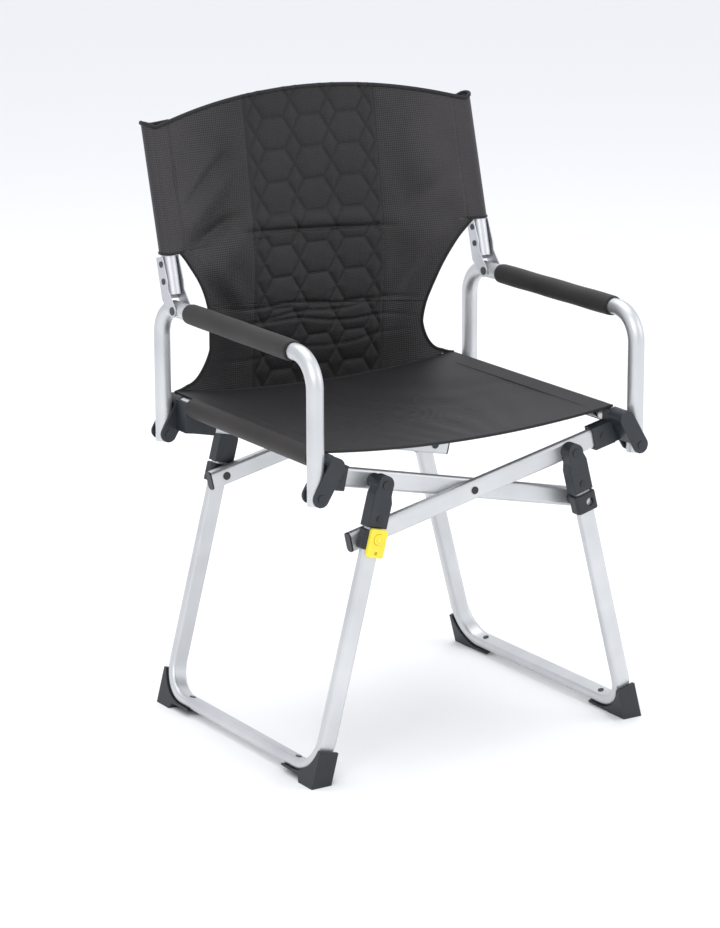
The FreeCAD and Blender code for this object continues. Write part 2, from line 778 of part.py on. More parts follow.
def bar_point(reach, rise, side):
    """A point along a bar and above it, in the corner fitting's axes."""
    x = f"{side} * (({reach}) * {COS_OPEN} - ({rise}) * {SIN_OPEN} - dims.arm_x)"
    z = f"(({reach}) * {SIN_OPEN} + ({rise}) * {COS_OPEN} + dims.arm_pivot_drop - dims.cross_drop)"
    return x, z


def make_corner(name, side, end_name, end):
    """Two slanted ears about the arm's post, a saddle for the seat rail and a socket for the bar's end."""
    body = new_body(f"{name}_{end_name}_corner")
    rail = (f"{side} * (dims.rail_x - dims.arm_x)", "dims.arm_pivot_drop")
    outer = bar_face(side)
    deep = f"({outer} - dims.bar_thick - dims.socket_wall)"
    shallow = f"({outer} + dims.socket_wall)"
    inner_ear = f"({EAR_INNER} - dims.ear_thick)"
    along_y(
        body, *layer(end, inner_ear, f"{EAR_OUTER} + dims.ear_thick"),
        lambda s: draw_capsule(s, "0", "0", *rail, "dims.ear_radius"),
    )
    doc.recompute()
    face = number(f"{end} * ({EAR_OUTER} + dims.ear_thick)")
    round_edges(body, "dims.bracket_round / 2", lambda e: lies_at(e, "y", face))
    high = "dims.bar_high / 2 + dims.socket_wall"
    socket = [
        bar_point("dims.socket_from", high, side), bar_point("dims.socket_from", f"-({high})", side),
        bar_point("dims.bar_top + dims.socket_wall * 2", f"-({high})", side),
        bar_point("dims.bar_top + dims.socket_wall * 2", high, side),
    ]
    along_y(body, *layer(end, deep, shallow), lambda s: draw_outline(s, socket))
    block = [
        bar_point("dims.socket_from + dims.socket_wall * 3", high, side),
        bar_point("dims.socket_from + dims.socket_wall * 3", f"-({high})", side), socket[2],
        (f"{side} * (-dims.ear_radius)", "dims.ear_radius * 0.4"),
        (f"{rail[0]} + {side} * dims.ear_radius * 0.9", rail[1]),
        (f"{rail[0]} + {side} * dims.ear_radius * 0.9", f"{rail[1]} + dims.block_top"),
        (f"{rail[0]} - {side} * dims.ear_radius * 0.9", f"{rail[1]} + dims.block_top"),
        (f"{rail[0]} - {side} * dims.ear_radius", f"{rail[1]} - dims.block_top"),
    ]
    along_y(body, *layer(end, deep, EAR_INNER), lambda s: draw_outline(s, block))
    gap = layer(end, EAR_INNER, EAR_OUTER)
    edge = f"{side} * (-dims.arm_radius - dims.ear_gap)"
    far_out = f"{side} * dims.ear_radius * 3"
    along_y(body, *gap, lambda s: draw_box(s, edge, far_out, "0", "dims.ear_radius * 6"), "Pocket")
    along_y(body, *gap, lambda s: draw_circle(s, "0", "0", "dims.post_relief"), "Pocket")
    along_y(
        body, *layer(end, f"{deep} - dims.bar_thick", EAR_OUTER),
        lambda s: draw_circle(s, *rail, "dims.rail_radius + dims.fit_gap"), "Pocket",
    )
    through = layer(end, f"{deep} - dims.bar_thick", f"{EAR_OUTER} + dims.ear_thick * 3")
    along_y(
        body, *through, lambda s: draw_circle(s, "0", "0", "dims.rivet_radius + dims.running"), "Pocket"
    )
    pocket_half = "dims.bar_high / 2 + dims.fit_gap"
    pocket = [
        bar_point("dims.socket_from - dims.bar_thick", pocket_half, side),
        bar_point("dims.socket_from - dims.bar_thick", f"-({pocket_half})", side),
        bar_point("dims.bar_top + dims.fit_gap", f"-({pocket_half})", side),
        bar_point("dims.bar_top + dims.fit_gap", pocket_half, side),
    ]
    along_y(
        body, *layer(end, f"{outer} - dims.bar_thick - dims.fit_gap", f"{outer} + dims.fit_gap"),
        lambda s: draw_outline(s, pocket), "Pocket",
    )
    along_y(
        body, *through,
        lambda s: draw_circle(
            s, *bar_point("dims.socket_rivet", "0", side), "dims.small_rivet + dims.running"
        ), "Pocket",
    )
    on_corner(body, side)
    return body


def tube_y(label, radius, wall, half_length):
    """A plain tube along Y, half its length each way from its own origin."""
    solids = []
    for word, r, extra in (("skin", radius, "0"), ("bore", f"({radius}) - ({wall})", "1")):
        rod = doc.addObject("Part::Cylinder", f"{label}_{word}")
        rod.setExpression("Radius", r)
        rod.setExpression("Height", f"2 * (({half_length}) + {extra})")
        rod.Placement = FreeCAD.Placement(Vector(), FreeCAD.Rotation(Vector(1, 0, 0), -90))
        rod.setExpression("Placement.Base.y", f"-(({half_length}) + {extra})")
        solids.append(rod)
    tube = doc.addObject("Part::Cut", label)
    tube.Base, tube.Tool = solids
    tube.Label = label
    return tube


def make_seat_rail(name, side):
    rail = tube_y(f"{name}_seat_rail", d("rail_radius"), d("rail_wall"), f"{EAR_OUTER} - dims.ear_gap")
    place(rail, f"{side} * dims.rail_x", d("layer_middle"), d("rail_height"))
    return rail


# ---------------------------------------------------------------- arm frames


def make_arm_tube(name, side):
    body = new_body(f"{name}_arm_tube")
    path = new_sketch(body, "YZ_Plane")
    low = f"{ARM_PIVOT_HEIGHT} - dims.post_tail"
    corners = [(f"-{POST_OFFSET}", low), (f"-{POST_OFFSET}", "dims.arm_height"),
               (POST_OFFSET, "dims.arm_height"), (POST_OFFSET, low)]
    lines = draw_path(path, corners, [d("arm_bend"), d("arm_bend")])
    pin_point(path, lines[0], 1, *corners[0])
    pin_point(path, lines[2], 2, *corners[3])
    path.addConstraint(Sketcher.Constraint("Vertical", lines[0]))
    path.addConstraint(Sketcher.Constraint("Vertical", lines[2]))
    path.addConstraint(Sketcher.Constraint("Horizontal", lines[1]))
    index = path.addConstraint(
        Sketcher.Constraint("DistanceY", -1, 1, lines[1], 1, number("dims.arm_height"))
    )
    path.setExpression(f"Constraints[{index}]", "dims.arm_height")
    centre = ("0", f"-{POST_OFFSET}")
    tube_pipe(
        body, path,
        lambda s: draw_circle(s, *centre, "dims.arm_radius"),
        lambda s: draw_circle(s, *centre, "dims.arm_radius - dims.arm_wall"),
        "XY_Plane", low,
    )
    for end in ENDS.values():
        across = layer(end, f"{POST_OFFSET} - dims.arm_radius * 2", f"{POST_OFFSET} + dims.arm_radius * 2")
        along_y(
            body, *across,
            lambda s: draw_circle(s, "0", ARM_PIVOT_HEIGHT, "dims.rivet_radius + dims.running"),
            "Pocket",
        )
    pad_between(
        body, "YZ_Plane", "-dims.arm_radius * 2", "dims.arm_radius * 2",
        lambda s: draw_circle(
            s, "dims.hinge_y - dims.layer_middle", "dims.arm_height", "dims.rivet_radius + dims.running"
        ), "Pocket",
    )
    place(body, f"{side} * dims.arm_x", d("layer_middle"), "0")
    return body


def make_arm_pad(name, side):
    body = new_body(f"{name}_arm_pad")
    along_y(body, d("pad_front"), d("pad_back"), lambda s: draw_circle(s, "0", "0", "dims.pad_radius"))
    ends = [number(d("pad_front")), number(d("pad_back"))]
    doc.recompute()
    tip = body.Tip
    names = [
        f"Edge{i}" for i, edge in enumerate(tip.Shape.Edges, start=1)
        if any(lies_at(edge, "y", y) for y in ends)
    ]
    chamfer = body.newObject("PartDesign::Chamfer", f"{name}_pad_chamfer")
    chamfer.Base = (tip, names)
    chamfer.setExpression("Size", "dims.pad_chamfer")
    along_y(
        body, "dims.pad_front - dims.pad_radius", "dims.pad_back + dims.pad_radius",
        lambda s: draw_circle(s, "0", "0", "dims.arm_radius + dims.fit_gap"), "Pocket",
    )
    place(body, f"{side} * dims.arm_x", "0", d("arm_height"))
    return body


# ---------------------------------------------------------------- backrest


def on_back(body, side):
    """The upright's own axes: origin at the hinge bolt, +Z up the reclined tube."""
    place(
        body, f"{side} * dims.arm_x", d("hinge_y"), d("arm_height"),
        axis=(1, 0, 0), angle="-dims.recline",
    )


CHANNEL_HALF = "(dims.arm_radius + dims.channel_gap)"


def make_back_channel(name, side):
    """A folded channel: its back web behind the tube, its flanges widening forward to the bolt."""
    body = new_body(f"{name}_back_channel")
    inside = "(dims.back_offset + dims.back_radius + dims.fit_gap)"
    outside = f"({inside} + dims.channel_wall)"
    start = "(dims.back_start - dims.channel_lobe / 2)"
    wide = f"({CHANNEL_HALF} + dims.channel_wall)"
    flange = [
        ("-dims.channel_lobe * 0.8", "dims.channel_lobe * 0.6"),
        ("-dims.channel_lobe * 0.2", "-dims.channel_lobe * 0.97"),
        ("dims.channel_lobe", "-dims.channel_lobe * 0.4"),
        (outside, start), (outside, "dims.channel_length"),
        ("dims.back_offset - dims.channel_lobe * 0.6", "dims.channel_length"),
        ("dims.back_offset - dims.back_radius", "dims.channel_low_rivet"),
        (
            "dims.back_offset - dims.back_radius + dims.channel_wall",
            "dims.back_start + dims.channel_lobe * 0.7",
        ),
    ]
    pad_between(body, "YZ_Plane", f"-{wide}", wide, lambda s: draw_outline(s, flange))
    pad_between(
        body, "YZ_Plane", f"-{wide}", wide, lambda s: draw_circle(s, "0", "0", "dims.channel_lobe"),
    )
    pad_between(
        body, "YZ_Plane", f"-{CHANNEL_HALF}", CHANNEL_HALF,
        lambda s: draw_box(
            s, "-dims.channel_lobe * 4", inside, "-dims.channel_lobe * 4", "dims.channel_length * 2"
        ), "Pocket",
    )
    pad_between(
        body, "YZ_Plane", f"-{CHANNEL_HALF}", CHANNEL_HALF,
        lambda s: draw_box(
            s, "-dims.channel_lobe * 4", f"{outside} + dims.channel_lobe", "-dims.channel_lobe * 4", start
        ), "Pocket",
    )
    holes = [
        ("0", "0", "dims.rivet_radius"),
        ("dims.back_offset", "dims.channel_low_rivet", "dims.small_rivet"),
        ("dims.back_offset", "dims.channel_high_rivet", "dims.small_rivet"),
    ]
    for y, z, radius in holes:
        pad_between(
            body, "YZ_Plane", f"-{wide} * 2", f"{wide} * 2",
            lambda s: draw_circle(s, y, z, f"{radius} + dims.running"), "Pocket",
        )
    on_back(body, side)
    return body


def make_back_tube(name, side):
    body = new_body(f"{name}_back_tube")
    ends = ("dims.back_start", "dims.back_start + dims.back_length")
    pad_between(
        body, "XY_Plane", *ends, lambda s: draw_circle(s, "0", "dims.back_offset", "dims.back_radius")
    )
    pad_between(
        body, "XY_Plane", f"{ends[0]} - dims.back_radius", f"{ends[1]} + dims.back_radius",
        lambda s: draw_circle(s, "0", "dims.back_offset", "dims.back_radius - dims.back_wall"), "Pocket",
    )
    for height in ("dims.channel_low_rivet", "dims.channel_high_rivet"):
        pad_between(
            body, "YZ_Plane", "-dims.arm_radius * 2", "dims.arm_radius * 2",
            lambda s: draw_circle(s, "dims.back_offset", height, "dims.small_rivet + dims.running"),
            "Pocket",
        )
    on_back(body, side)
    return body


def make_back_cap(name, side):
    """A domed plug in the top of the upright."""
    body = new_body(f"{name}_back_cap")
    top = "(dims.back_start + dims.back_length)"
    pad_between(
        body, "XY_Plane", top, f"{top} + dims.cap_high",
        lambda s: draw_circle(s, "0", "dims.back_offset", "dims.back_radius"),
    )
    crown = number(f"{top} + dims.cap_high")
    round_edges(body, "dims.cap_high * 0.8", lambda e: lies_at(e, "z", crown))
    pad_between(
        body, "XY_Plane", f"{top} - dims.cap_high * 2", top,
        lambda s: draw_circle(
            s, "0", "dims.back_offset", "dims.back_radius - dims.back_wall - dims.fit_gap"
        ),
    )
    on_back(body, side)
    return body


# ---------------------------------------------------------------- rivets and bolts


def make_rivet(label, locate, shank, head, low, high, role, at=("0", "0"), heads=(True, True)):
    """A rivet between the seats low and high along a plane's normal; its heads stand outside them."""
    body = new_body(label)
    rod = (low, high)
    pad_between(body, role, *rod, lambda s: draw_circle(s, *at, shank))
    caps = [(f"{low} - dims.rivet_head_high", low), (high, f"{high} + dims.rivet_head_high")]
    for wanted, (near, far) in zip(heads, caps):
        if wanted:
            pad_between(body, role, near, far, lambda s: draw_circle(s, *at, head))
    locate(body)
    return body


def rivet_along_y(label, locate, end, inner, outer, shank, head, at, heads=(True, True)):
    """A rivet across the layers from inner to outer; the XZ plane's normal is -Y."""
    near, far = layer(end, inner, outer)
    return make_rivet(label, locate, shank, head, f"-({far})", f"-({near})", "XZ_Plane", at, heads)


def make_side_rivets(name, side):
    leg, bar = lambda b: on_leg(b, side), lambda b: on_bar(b, side)
    corner = lambda b: on_corner(b, side)
    outer = bar_face(side)
    half = "dims.bracket_thick / 2"
    small = ("dims.small_rivet", "dims.small_head")
    big = ("dims.rivet_radius", "dims.rivet_head")
    sets = {
        f"{name}_foot_rivets": [
            make_rivet(
                f"{name}_{word}_foot_rivet", leg, *small,
                f"-{RAIL_DROP} - dims.leg_thick / 2 - dims.foot_lip", f"-{RAIL_DROP} + dims.leg_thick / 2",
                "XY_Plane", ("0", f"{end} * (dims.leg_half_span - dims.foot_rivet_inset)"), (False, True),
            ) for word, end in ENDS.items()
        ],
        f"{name}_leg_bracket_rivets": [
            rivet_along_y(
                f"{name}_{word}_leg_bracket_rivet", leg, end,
                f"dims.leg_half_span - {half}", f"dims.leg_half_span + {half}", *small,
                ("0", "-dims.bracket_rivet_drop"), (end == REAR, end == FRONT),
            ) for word, end in ENDS.items()
        ],
        f"{name}_leg_pivot_rivets": [
            rivet_along_y(
                f"{name}_{word}_leg_pivot_rivet", bar, end,
                f"{outer} - dims.bar_thick", f"dims.leg_half_span + {half}", *big,
                (f"{side} * dims.reach_up", "0"),
            ) for word, end in ENDS.items()
        ],
        f"{name}_collar_pivot_rivets": [
            rivet_along_y(
                f"{name}_{word}_collar_pivot_rivet", bar, end,
                f"{outer} - dims.bar_thick", outer, *big,
                (f"{-side} * dims.reach_down", "0"), (end == FRONT, end == REAR),
            ) for word, end in ENDS.items()
        ],
        f"{name}_corner_rivets": [
            rivet_along_y(
                f"{name}_{word}_corner_rivet", corner, end,
                f"{outer} - dims.bar_thick - dims.socket_wall", socket_face(side), *small,
                bar_point("dims.socket_rivet", "0", side),
            ) for word, end in ENDS.items()
        ],
        f"{name}_arm_pivot_rivets": [
            rivet_along_y(
                f"{name}_{word}_arm_pivot_rivet", corner, end,
                f"{EAR_INNER} - dims.ear_thick", f"{EAR_OUTER} + dims.ear_thick", *big, ("0", "0"),
            ) for word, end in ENDS.items()
        ],
        f"{name}_back_channel_rivets": [
            make_rivet(
                f"{name}_{word}_channel_rivet", lambda b: on_back(b, side), *small,
                f"-({CHANNEL_HALF} + dims.channel_wall)", f"{CHANNEL_HALF} + dims.channel_wall",
                "YZ_Plane", ("dims.back_offset", height),
            ) for word, height in (("low", "dims.channel_low_rivet"), ("high", "dims.channel_high_rivet"))
        ],
    }
    for label, pieces in sets.items():
        group(label, pieces)
    bolt = make_rivet(
        f"{name}_back_hinge_bolt", lambda b: place(b, f"{side} * dims.arm_x", d("hinge_y"), d("arm_height")),
        *big, f"-({CHANNEL_HALF} + dims.channel_wall)", f"{CHANNEL_HALF} + dims.channel_wall", "YZ_Plane",
    )
    return [*sets, bolt.Label]


def make_cross_rivets():
    pieces = [
        rivet_along_y(
            f"{word}_cross_rivet", lambda b: on_bar(b, LEFT), end,
            f"{INNER_BAR_FACE} - dims.bar_thick", OUTER_BAR_FACE,
            "dims.cross_radius", "dims.cross_head", ("0", "0"),
        ) for word, end in ENDS.items()
    ]
    group("cross_rivets", pieces)
    return "cross_rivets"


# ---------------------------------------------------------------- sheets


def make_seat_sheet():
    """The seat cloth: sleeves round both rails and a web between them that sags."""
    body = new_body("seat_sheet")
    x, z, r = "dims.rail_x", "dims.rail_height", "dims.rail_radius"
    sleeve = "(dims.ear_radius + dims.cloth_gap + dims.cloth / 2)"
    reach = f"({INNER_BAR_FACE} - dims.bar_thick - dims.socket_wall - dims.cloth_gap)"
    sleeves = (f"dims.layer_middle - {reach}", f"dims.layer_middle + {reach}")
    under = f"({z} + dims.ear_radius + dims.cloth_gap)"
    top = f"({under} + dims.cloth)"
    web = new_sketch(body, "XZ_Plane", f"-({d('seat_back')})")
    spans = [(f"-{x}", top, x, top, "dims.seat_sag"), (f"-{x}", under, x, under, "dims.seat_sag")]
    draw_sagging_strip(web, spans)
    extrude(body, web, "Pad", f"-({d('seat_front')})", f"-({d('seat_back')})")
    for side in SIDES.values():
        along_y(body, *sleeves, lambda s: draw_circle(s, f"{side} * {x}", z, sleeve))
    for side in SIDES.values():
        along_y(
            body, f"{sleeves[0]} - {r}", f"{sleeves[1]} + {r}",
            lambda s: draw_circle(s, f"{side} * {x}", z, f"{r} + dims.cloth_gap"), "Pocket",
        )
    return body


def draw_sagging_strip(sketch, spans):
    """A strip between two arcs that hang below their chords by the sag."""
    arcs = []
    for x0, z0, x1, z1, sag in spans:
        a, b = Vector(number(x0), number(z0), 0), Vector(number(x1), number(z1), 0)
        low = (a + b) / 2 - Vector(0, number(sag), 0)
        arcs.append(sketch.addGeometry(Part.Arc(a, low, b)))
        begin = sketch.getPoint(arcs[-1], 1)
        first, second = (1, 2) if (begin - a).Length < 1e-3 else (2, 1)
        pin_point(sketch, arcs[-1], first, x0, z0)
        pin_point(sketch, arcs[-1], second, x1, z1)
        half = f"(({x1}) - ({x0})) / 2"
        bind_radius(sketch, arcs[-1], f"(({half}) ^ 2 + ({sag}) ^ 2) / (2 * ({sag}))")
    one, two = arcs
    for end in (1, 2):
        line = sketch.addGeometry(Part.LineSegment(sketch.getPoint(one, end), sketch.getPoint(two, end)))
        sketch.addConstraint(Sketcher.Constraint("Coincident", line, 1, one, end))
        sketch.addConstraint(Sketcher.Constraint("Coincident", line, 2, two, end))


def make_back_sheet():
    """The back cloth: sleeves on the uprights, a bulging panel, armholes, and a skirt to the seat.

    Level slices, each a thin crescent, are lofted and cut to the front outline.
    """
    size = {word: number(d(word)) for word in SIZES}
    recline, cloth = math.radians(size["recline"]), size["cloth"]
    edge_x, seat_y, arm_z = size["arm_x"], size["back_seat_y"], size["arm_height"]
    bore = size["back_radius"] + size["cloth_gap"]
    low = size["rail_height"] + size["back_low_rise"]
    top, shoulder = size["back_top"], size["back_shoulder"]
    waist, waist_z, skirt = size["waist_half"], size["waist_height"], size["skirt_half"]
    sleeve_z = arm_z + size["back_sleeve_low"] * math.cos(recline)
    clear_x = edge_x - bore - cloth - size["channel_wall"]

    def upright_y(z):
        return size["hinge_y"] + size["back_offset"] / math.cos(recline) + (z - arm_z) * math.tan(recline)

    def slice_at(z, middle_y, edge):
        near = [Vector(-edge_x, edge, z), Vector(0, middle_y, z), Vector(edge_x, edge, z)]
        far = [point + Vector(0, cloth, 0) for point in reversed(near)]
        return Part.Wire([
            Part.Arc(*near).toShape(), Part.makeLine(near[2], far[0]),
            Part.Arc(*far).toShape(), Part.makeLine(far[2], near[0]),
        ])

    chest, blade, crown = arm_z + size["chest_rise"], arm_z + size["blade_rise"], top + cloth
    levels = [
        (low - cloth, seat_y, seat_y - size["hem_edge_lead"]),
        (waist_z, seat_y - size["waist_lead"], seat_y - size["waist_edge_lead"]),
        (arm_z, seat_y - size["arm_level_lead"], seat_y - size["arm_level_edge_lead"]),
        (chest, seat_y, upright_y(chest)),
        (blade, seat_y + size["blade_lag"], upright_y(blade)),
        (crown, seat_y + size["top_lag"], upright_y(crown)),
    ]
    crescent = Part.makeLoft([slice_at(*level) for level in levels], True, False)

    edges = [
        Part.makeLine(Vector(-skirt, 0, low), Vector(skirt, 0, low)),
        Part.Arc(Vector(edge_x, 0, shoulder), Vector(0, 0, top), Vector(-edge_x, 0, shoulder)).toShape(),
    ]
    for sign in (1, -1):
        hem, nip = Vector(sign * skirt, 0, low), Vector(sign * waist, 0, waist_z)
        armpit, corner = Vector(sign * clear_x, 0, sleeve_z), Vector(sign * edge_x, 0, sleeve_z)
        below = Vector(sign * (waist + (skirt - waist) * 0.35), 0, (low * 2 + waist_z) / 3)
        above = Vector(sign * (waist + (clear_x - waist) * 0.3), 0, waist_z + (sleeve_z - waist_z) * 0.56)
        edges += [
            Part.Arc(hem, below, nip).toShape(), Part.Arc(nip, above, armpit).toShape(),
            Part.makeLine(armpit, corner), Part.makeLine(corner, Vector(sign * edge_x, 0, shoulder)),
        ]
    front = Part.Face(Part.Wire(Part.sortEdges(edges)[0]))
    panel = crescent.common(front.extrude(Vector(0, 2 * seat_y, 0)))

    start, stop = size["back_sleeve_low"], size["back_start"] + size["back_length"] + size["cap_high"]
    for sign in (1, -1):
        for radius, spare in ((bore + cloth, 0), (bore, 2 * bore)):
            foot = Vector(0, size["back_offset"], start - spare)
            rod = Part.makeCylinder(radius, stop - start + 2 * spare, foot, Vector(0, 0, 1))
            rod.rotate(Vector(), Vector(1, 0, 0), -size["recline"])
            rod.translate(Vector(sign * edge_x, size["hinge_y"], arm_z))
            panel = panel.cut(rod) if spare else panel.fuse(rod)
    sheet_solid = doc.addObject("Part::Feature", "back_sheet")
    sheet_solid.Label = "back_sheet"
    sheet_solid.Shape = panel.removeSplitter()
    return sheet_solid


# ---------------------------------------------------------------- the chair

nodes = []
for name, side in SIDES.items():
    nodes.append(make_leg_frame(name, side).Label)
    for end_name, end in ENDS.items():
        for make in (make_foot, make_leg_bracket, make_collar, make_bar, make_corner):
            nodes.append(make(name, side, end_name, end).Label)
    for make in (make_bar_plugs, make_seat_rail, make_arm_tube, make_arm_pad,
                 make_back_channel, make_back_tube, make_back_cap):
        nodes.append(make(name, side).Label)
    nodes += make_side_rivets(name, side)
nodes.append(make_cross_rivets())
for make in (make_lock_cover, make_lock_button, make_lock_spring, make_seat_sheet, make_back_sheet):
    nodes.append(make().Label)
doc.recompute()

for thing in doc.Objects:
    if any(word in ("Invalid", "Error") for word in thing.State):
        raise RuntimeError(f"{thing.Label} failed to build: {thing.State}")

os.makedirs("parts", exist_ok=True)
for label in nodes:
    shape = doc.getObjectsByLabel(label)[0].Shape
    if shape.isNull() or not shape.isValid() or not shape.Solids:
        raise RuntimeError(f"{label} has no valid solid")
    shape.exportStep(f"parts/{label}.step")
print(f"{len(nodes)} nodes written")
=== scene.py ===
import json
import math
import bpy
import numpy as np
from mathutils import Matrix, Vector


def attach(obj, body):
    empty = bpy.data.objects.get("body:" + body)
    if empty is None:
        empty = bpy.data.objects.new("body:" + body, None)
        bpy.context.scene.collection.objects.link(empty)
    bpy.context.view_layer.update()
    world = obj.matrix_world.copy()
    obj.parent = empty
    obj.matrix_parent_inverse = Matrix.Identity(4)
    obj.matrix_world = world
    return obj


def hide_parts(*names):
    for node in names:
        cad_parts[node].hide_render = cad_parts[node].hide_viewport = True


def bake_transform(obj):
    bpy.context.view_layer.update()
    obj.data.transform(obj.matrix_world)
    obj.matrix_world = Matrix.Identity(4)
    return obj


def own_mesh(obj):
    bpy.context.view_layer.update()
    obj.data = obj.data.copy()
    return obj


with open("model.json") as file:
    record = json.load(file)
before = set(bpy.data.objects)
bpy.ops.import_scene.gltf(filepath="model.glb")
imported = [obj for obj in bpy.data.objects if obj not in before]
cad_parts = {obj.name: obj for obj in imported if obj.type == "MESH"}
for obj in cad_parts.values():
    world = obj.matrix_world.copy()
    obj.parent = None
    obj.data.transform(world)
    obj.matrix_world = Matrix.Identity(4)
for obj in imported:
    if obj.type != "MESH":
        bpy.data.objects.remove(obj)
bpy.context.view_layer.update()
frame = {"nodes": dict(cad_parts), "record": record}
scene = bpy.context.scene

# ------------------------------------------------------------------ camera, floor and light
# A long lens from the front left, aimed at the chair's middle with a small shift. The floor is one pale
# plane, and three large soft lamps with a white surround light it.

AZIMUTH, ELEVATION, DISTANCE = math.radians(-32.866), math.radians(13.953), 4.6467
AIM = Vector((0, 0, 0.45))
back = Vector((
    math.sin(AZIMUTH) * math.cos(ELEVATION), -math.cos(AZIMUTH) * math.cos(ELEVATION), math.sin(ELEVATION),
))
right = Vector((math.cos(AZIMUTH), math.sin(AZIMUTH), 0))
up = back.cross(right)
lens = bpy.data.cameras.new("camera")
lens.sensor_fit = "HORIZONTAL"
lens.sensor_width = 36
lens.lens = 159.79
lens.shift_x, lens.shift_y = -0.0470, -0.0706
lens.clip_end = 50
camera = bpy.data.objects.new("camera", lens)
camera.matrix_world = Matrix((
    (right.x, up.x, back.x, AIM.x + back.x * DISTANCE),
    (right.y, up.y, back.y, AIM.y + back.y * DISTANCE),
    (right.z, up.z, back.z, AIM.z + back.z * DISTANCE),
    (0, 0, 0, 1),
))
scene.collection.objects.link(camera)
scene.camera = camera

bpy.ops.mesh.primitive_plane_add(size=60, location=(0, 0, 0))
floor = bpy.context.object
floor.name = "floor"
pale = bpy.data.materials.new("floor")
pale.use_nodes = True
paint = pale.node_tree.nodes["Principled BSDF"].inputs
paint["Base Color"].default_value = (0.96, 0.96, 0.96, 1)
paint["Roughness"].default_value = 0.9
paint["Specular IOR Level"].default_value = 0.1
floor.data.materials.append(pale)

for name, place, size, power in (
    ("key", (-2.2, -2.6, 3.0), 2.2, 52),
    ("fill", (2.8, -2.0, 2.0), 2.4, 22),
    ("top", (0.2, 0.9, 3.4), 2.6, 46),
):
    lamp = bpy.data.lights.new(name, "AREA")
    lamp.energy, lamp.size = power, size
    thing = bpy.data.objects.new(name, lamp)
    thing.location = place
    thing.rotation_euler = (AIM - Vector(place)).to_track_quat("-Z", "Y").to_euler()
    scene.collection.objects.link(thing)

world = bpy.data.worlds.new("surround")
scene.world = world
world.use_nodes = True
tree = world.node_tree
tree.nodes.clear()
path = tree.nodes.new("ShaderNodeLightPath")
seen, lit = tree.nodes.new("ShaderNodeBackground"), tree.nodes.new("ShaderNodeBackground")
seen.inputs["Color"].default_value = (1, 1, 1, 1)
lit.inputs["Color"].default_value = (0.93, 0.95, 1, 1)
lit.inputs["Strength"].default_value = 0.96
either, mixed = tree.nodes.new("ShaderNodeMath"), tree.nodes.new("ShaderNodeMixShader")
either.operation = "MAXIMUM"
tree.links.new(path.outputs["Is Camera Ray"], either.inputs[0])
tree.links.new(path.outputs["Is Transmission Ray"], either.inputs[1])
tree.links.new(either.outputs[0], mixed.inputs[0])
tree.links.new(lit.outputs[0], mixed.inputs[1])
tree.links.new(seen.outputs[0], mixed.inputs[2])
tree.links.new(mixed.outputs[0], tree.nodes.new("ShaderNodeOutputWorld").inputs[0])
scene.view_settings.view_transform = "Standard"
scene.view_settings.look = "None"


# ------------------------------------------------------------------ metal and plastic
# Each CAD node keeps its shape and gets a procedural finish: anodised tube with fine drawing lines along
# it, moulded slate plastic with a fine grain, yellow lock plastic, black rivets and a steel spring.


def new_material(name, colour, roughness, **sockets):
    """A material whose shader has the given plain values; returns it with its tree and shader."""
    material = bpy.data.materials.new(name)
    material.use_nodes = True
    shader = material.node_tree.nodes["Principled BSDF"]
    shader.inputs["Base Color"].default_value = (*colour, 1)
    shader.inputs["Roughness"].default_value = roughness
    for socket, value in sockets.items():
        shader.inputs[socket.replace("_", " ")].default_value = value
    return material, material.node_tree, shader


def add(tree, kind, **values):
    """A node with some of its inputs or properties set."""
    node = tree.nodes.new("ShaderNode" + kind)
    for key, value in values.items():
        if key in node.inputs:
            node.inputs[key].default_value = value
        else:
            setattr(node, key, value)
    return node


def stretched_noise(tree, scale, detail=3.0):
    """Noise on the object's own coordinates, stretched by a scale for each axis."""
    where = add(tree, "TexCoord")
    spread = add(tree, "Mapping")
    spread.inputs["Scale"].default_value = scale
    noise = add(tree, "TexNoise", Scale=1.0, Detail=detail, Roughness=0.6)
    tree.links.new(where.outputs["Object"], spread.inputs["Vector"])
    tree.links.new(spread.outputs[0], noise.inputs["Vector"])
    return noise


def tint(tree, shader, driver, dark, light, low=0.3, high=0.7):
    """Base colour that runs from dark to light as the driver goes from low to high."""
    ramp = add(tree, "ValToRGB")
    ramp.color_ramp.elements[0].position, ramp.color_ramp.elements[1].position = low, high
    ramp.color_ramp.elements[0].color, ramp.color_ramp.elements[1].color = (*dark, 1), (*light, 1)
    tree.links.new(driver, ramp.inputs[0])
    tree.links.new(ramp.outputs[0], shader.inputs["Base Color"])


def bump(tree, shader, driver, strength, distance):
    """Raises the surface where the driver is high, by up to the distance in metres."""
    node = add(tree, "Bump", Strength=strength, Distance=distance)
    tree.links.new(driver, node.inputs["Height"])
    tree.links.new(node.outputs[0], shader.inputs["Normal"])


def roughen(tree, shader, driver, low, high):
    """Roughness that follows the driver between two values."""
    spread = add(tree, "MapRange")
    spread.inputs["To Min"].default_value, spread.inputs["To Max"].default_value = low, high
    tree.links.new(driver, spread.inputs["Value"])
    tree.links.new(spread.outputs[0], shader.inputs["Roughness"])


def tube_metal(name, along, light, dark):
    """Anodised tube: drawing lines run along one axis, with slow cloudy change in tone and gloss."""
    material, tree, shader = new_material(name, light, 0.36, Metallic=0.86)
    lines = [900.0, 900.0, 900.0]
    lines[along] = 14.0
    drawn = stretched_noise(tree, lines)
    cloud = stretched_noise(tree, (9, 9, 9), 2.0)
    tint(tree, shader, cloud.outputs["Fac"], dark, light)
    roughen(tree, shader, drawn.outputs["Fac"], 0.34, 0.52)
    bump(tree, shader, drawn.outputs["Fac"], 0.25, 0.00012)
    return material


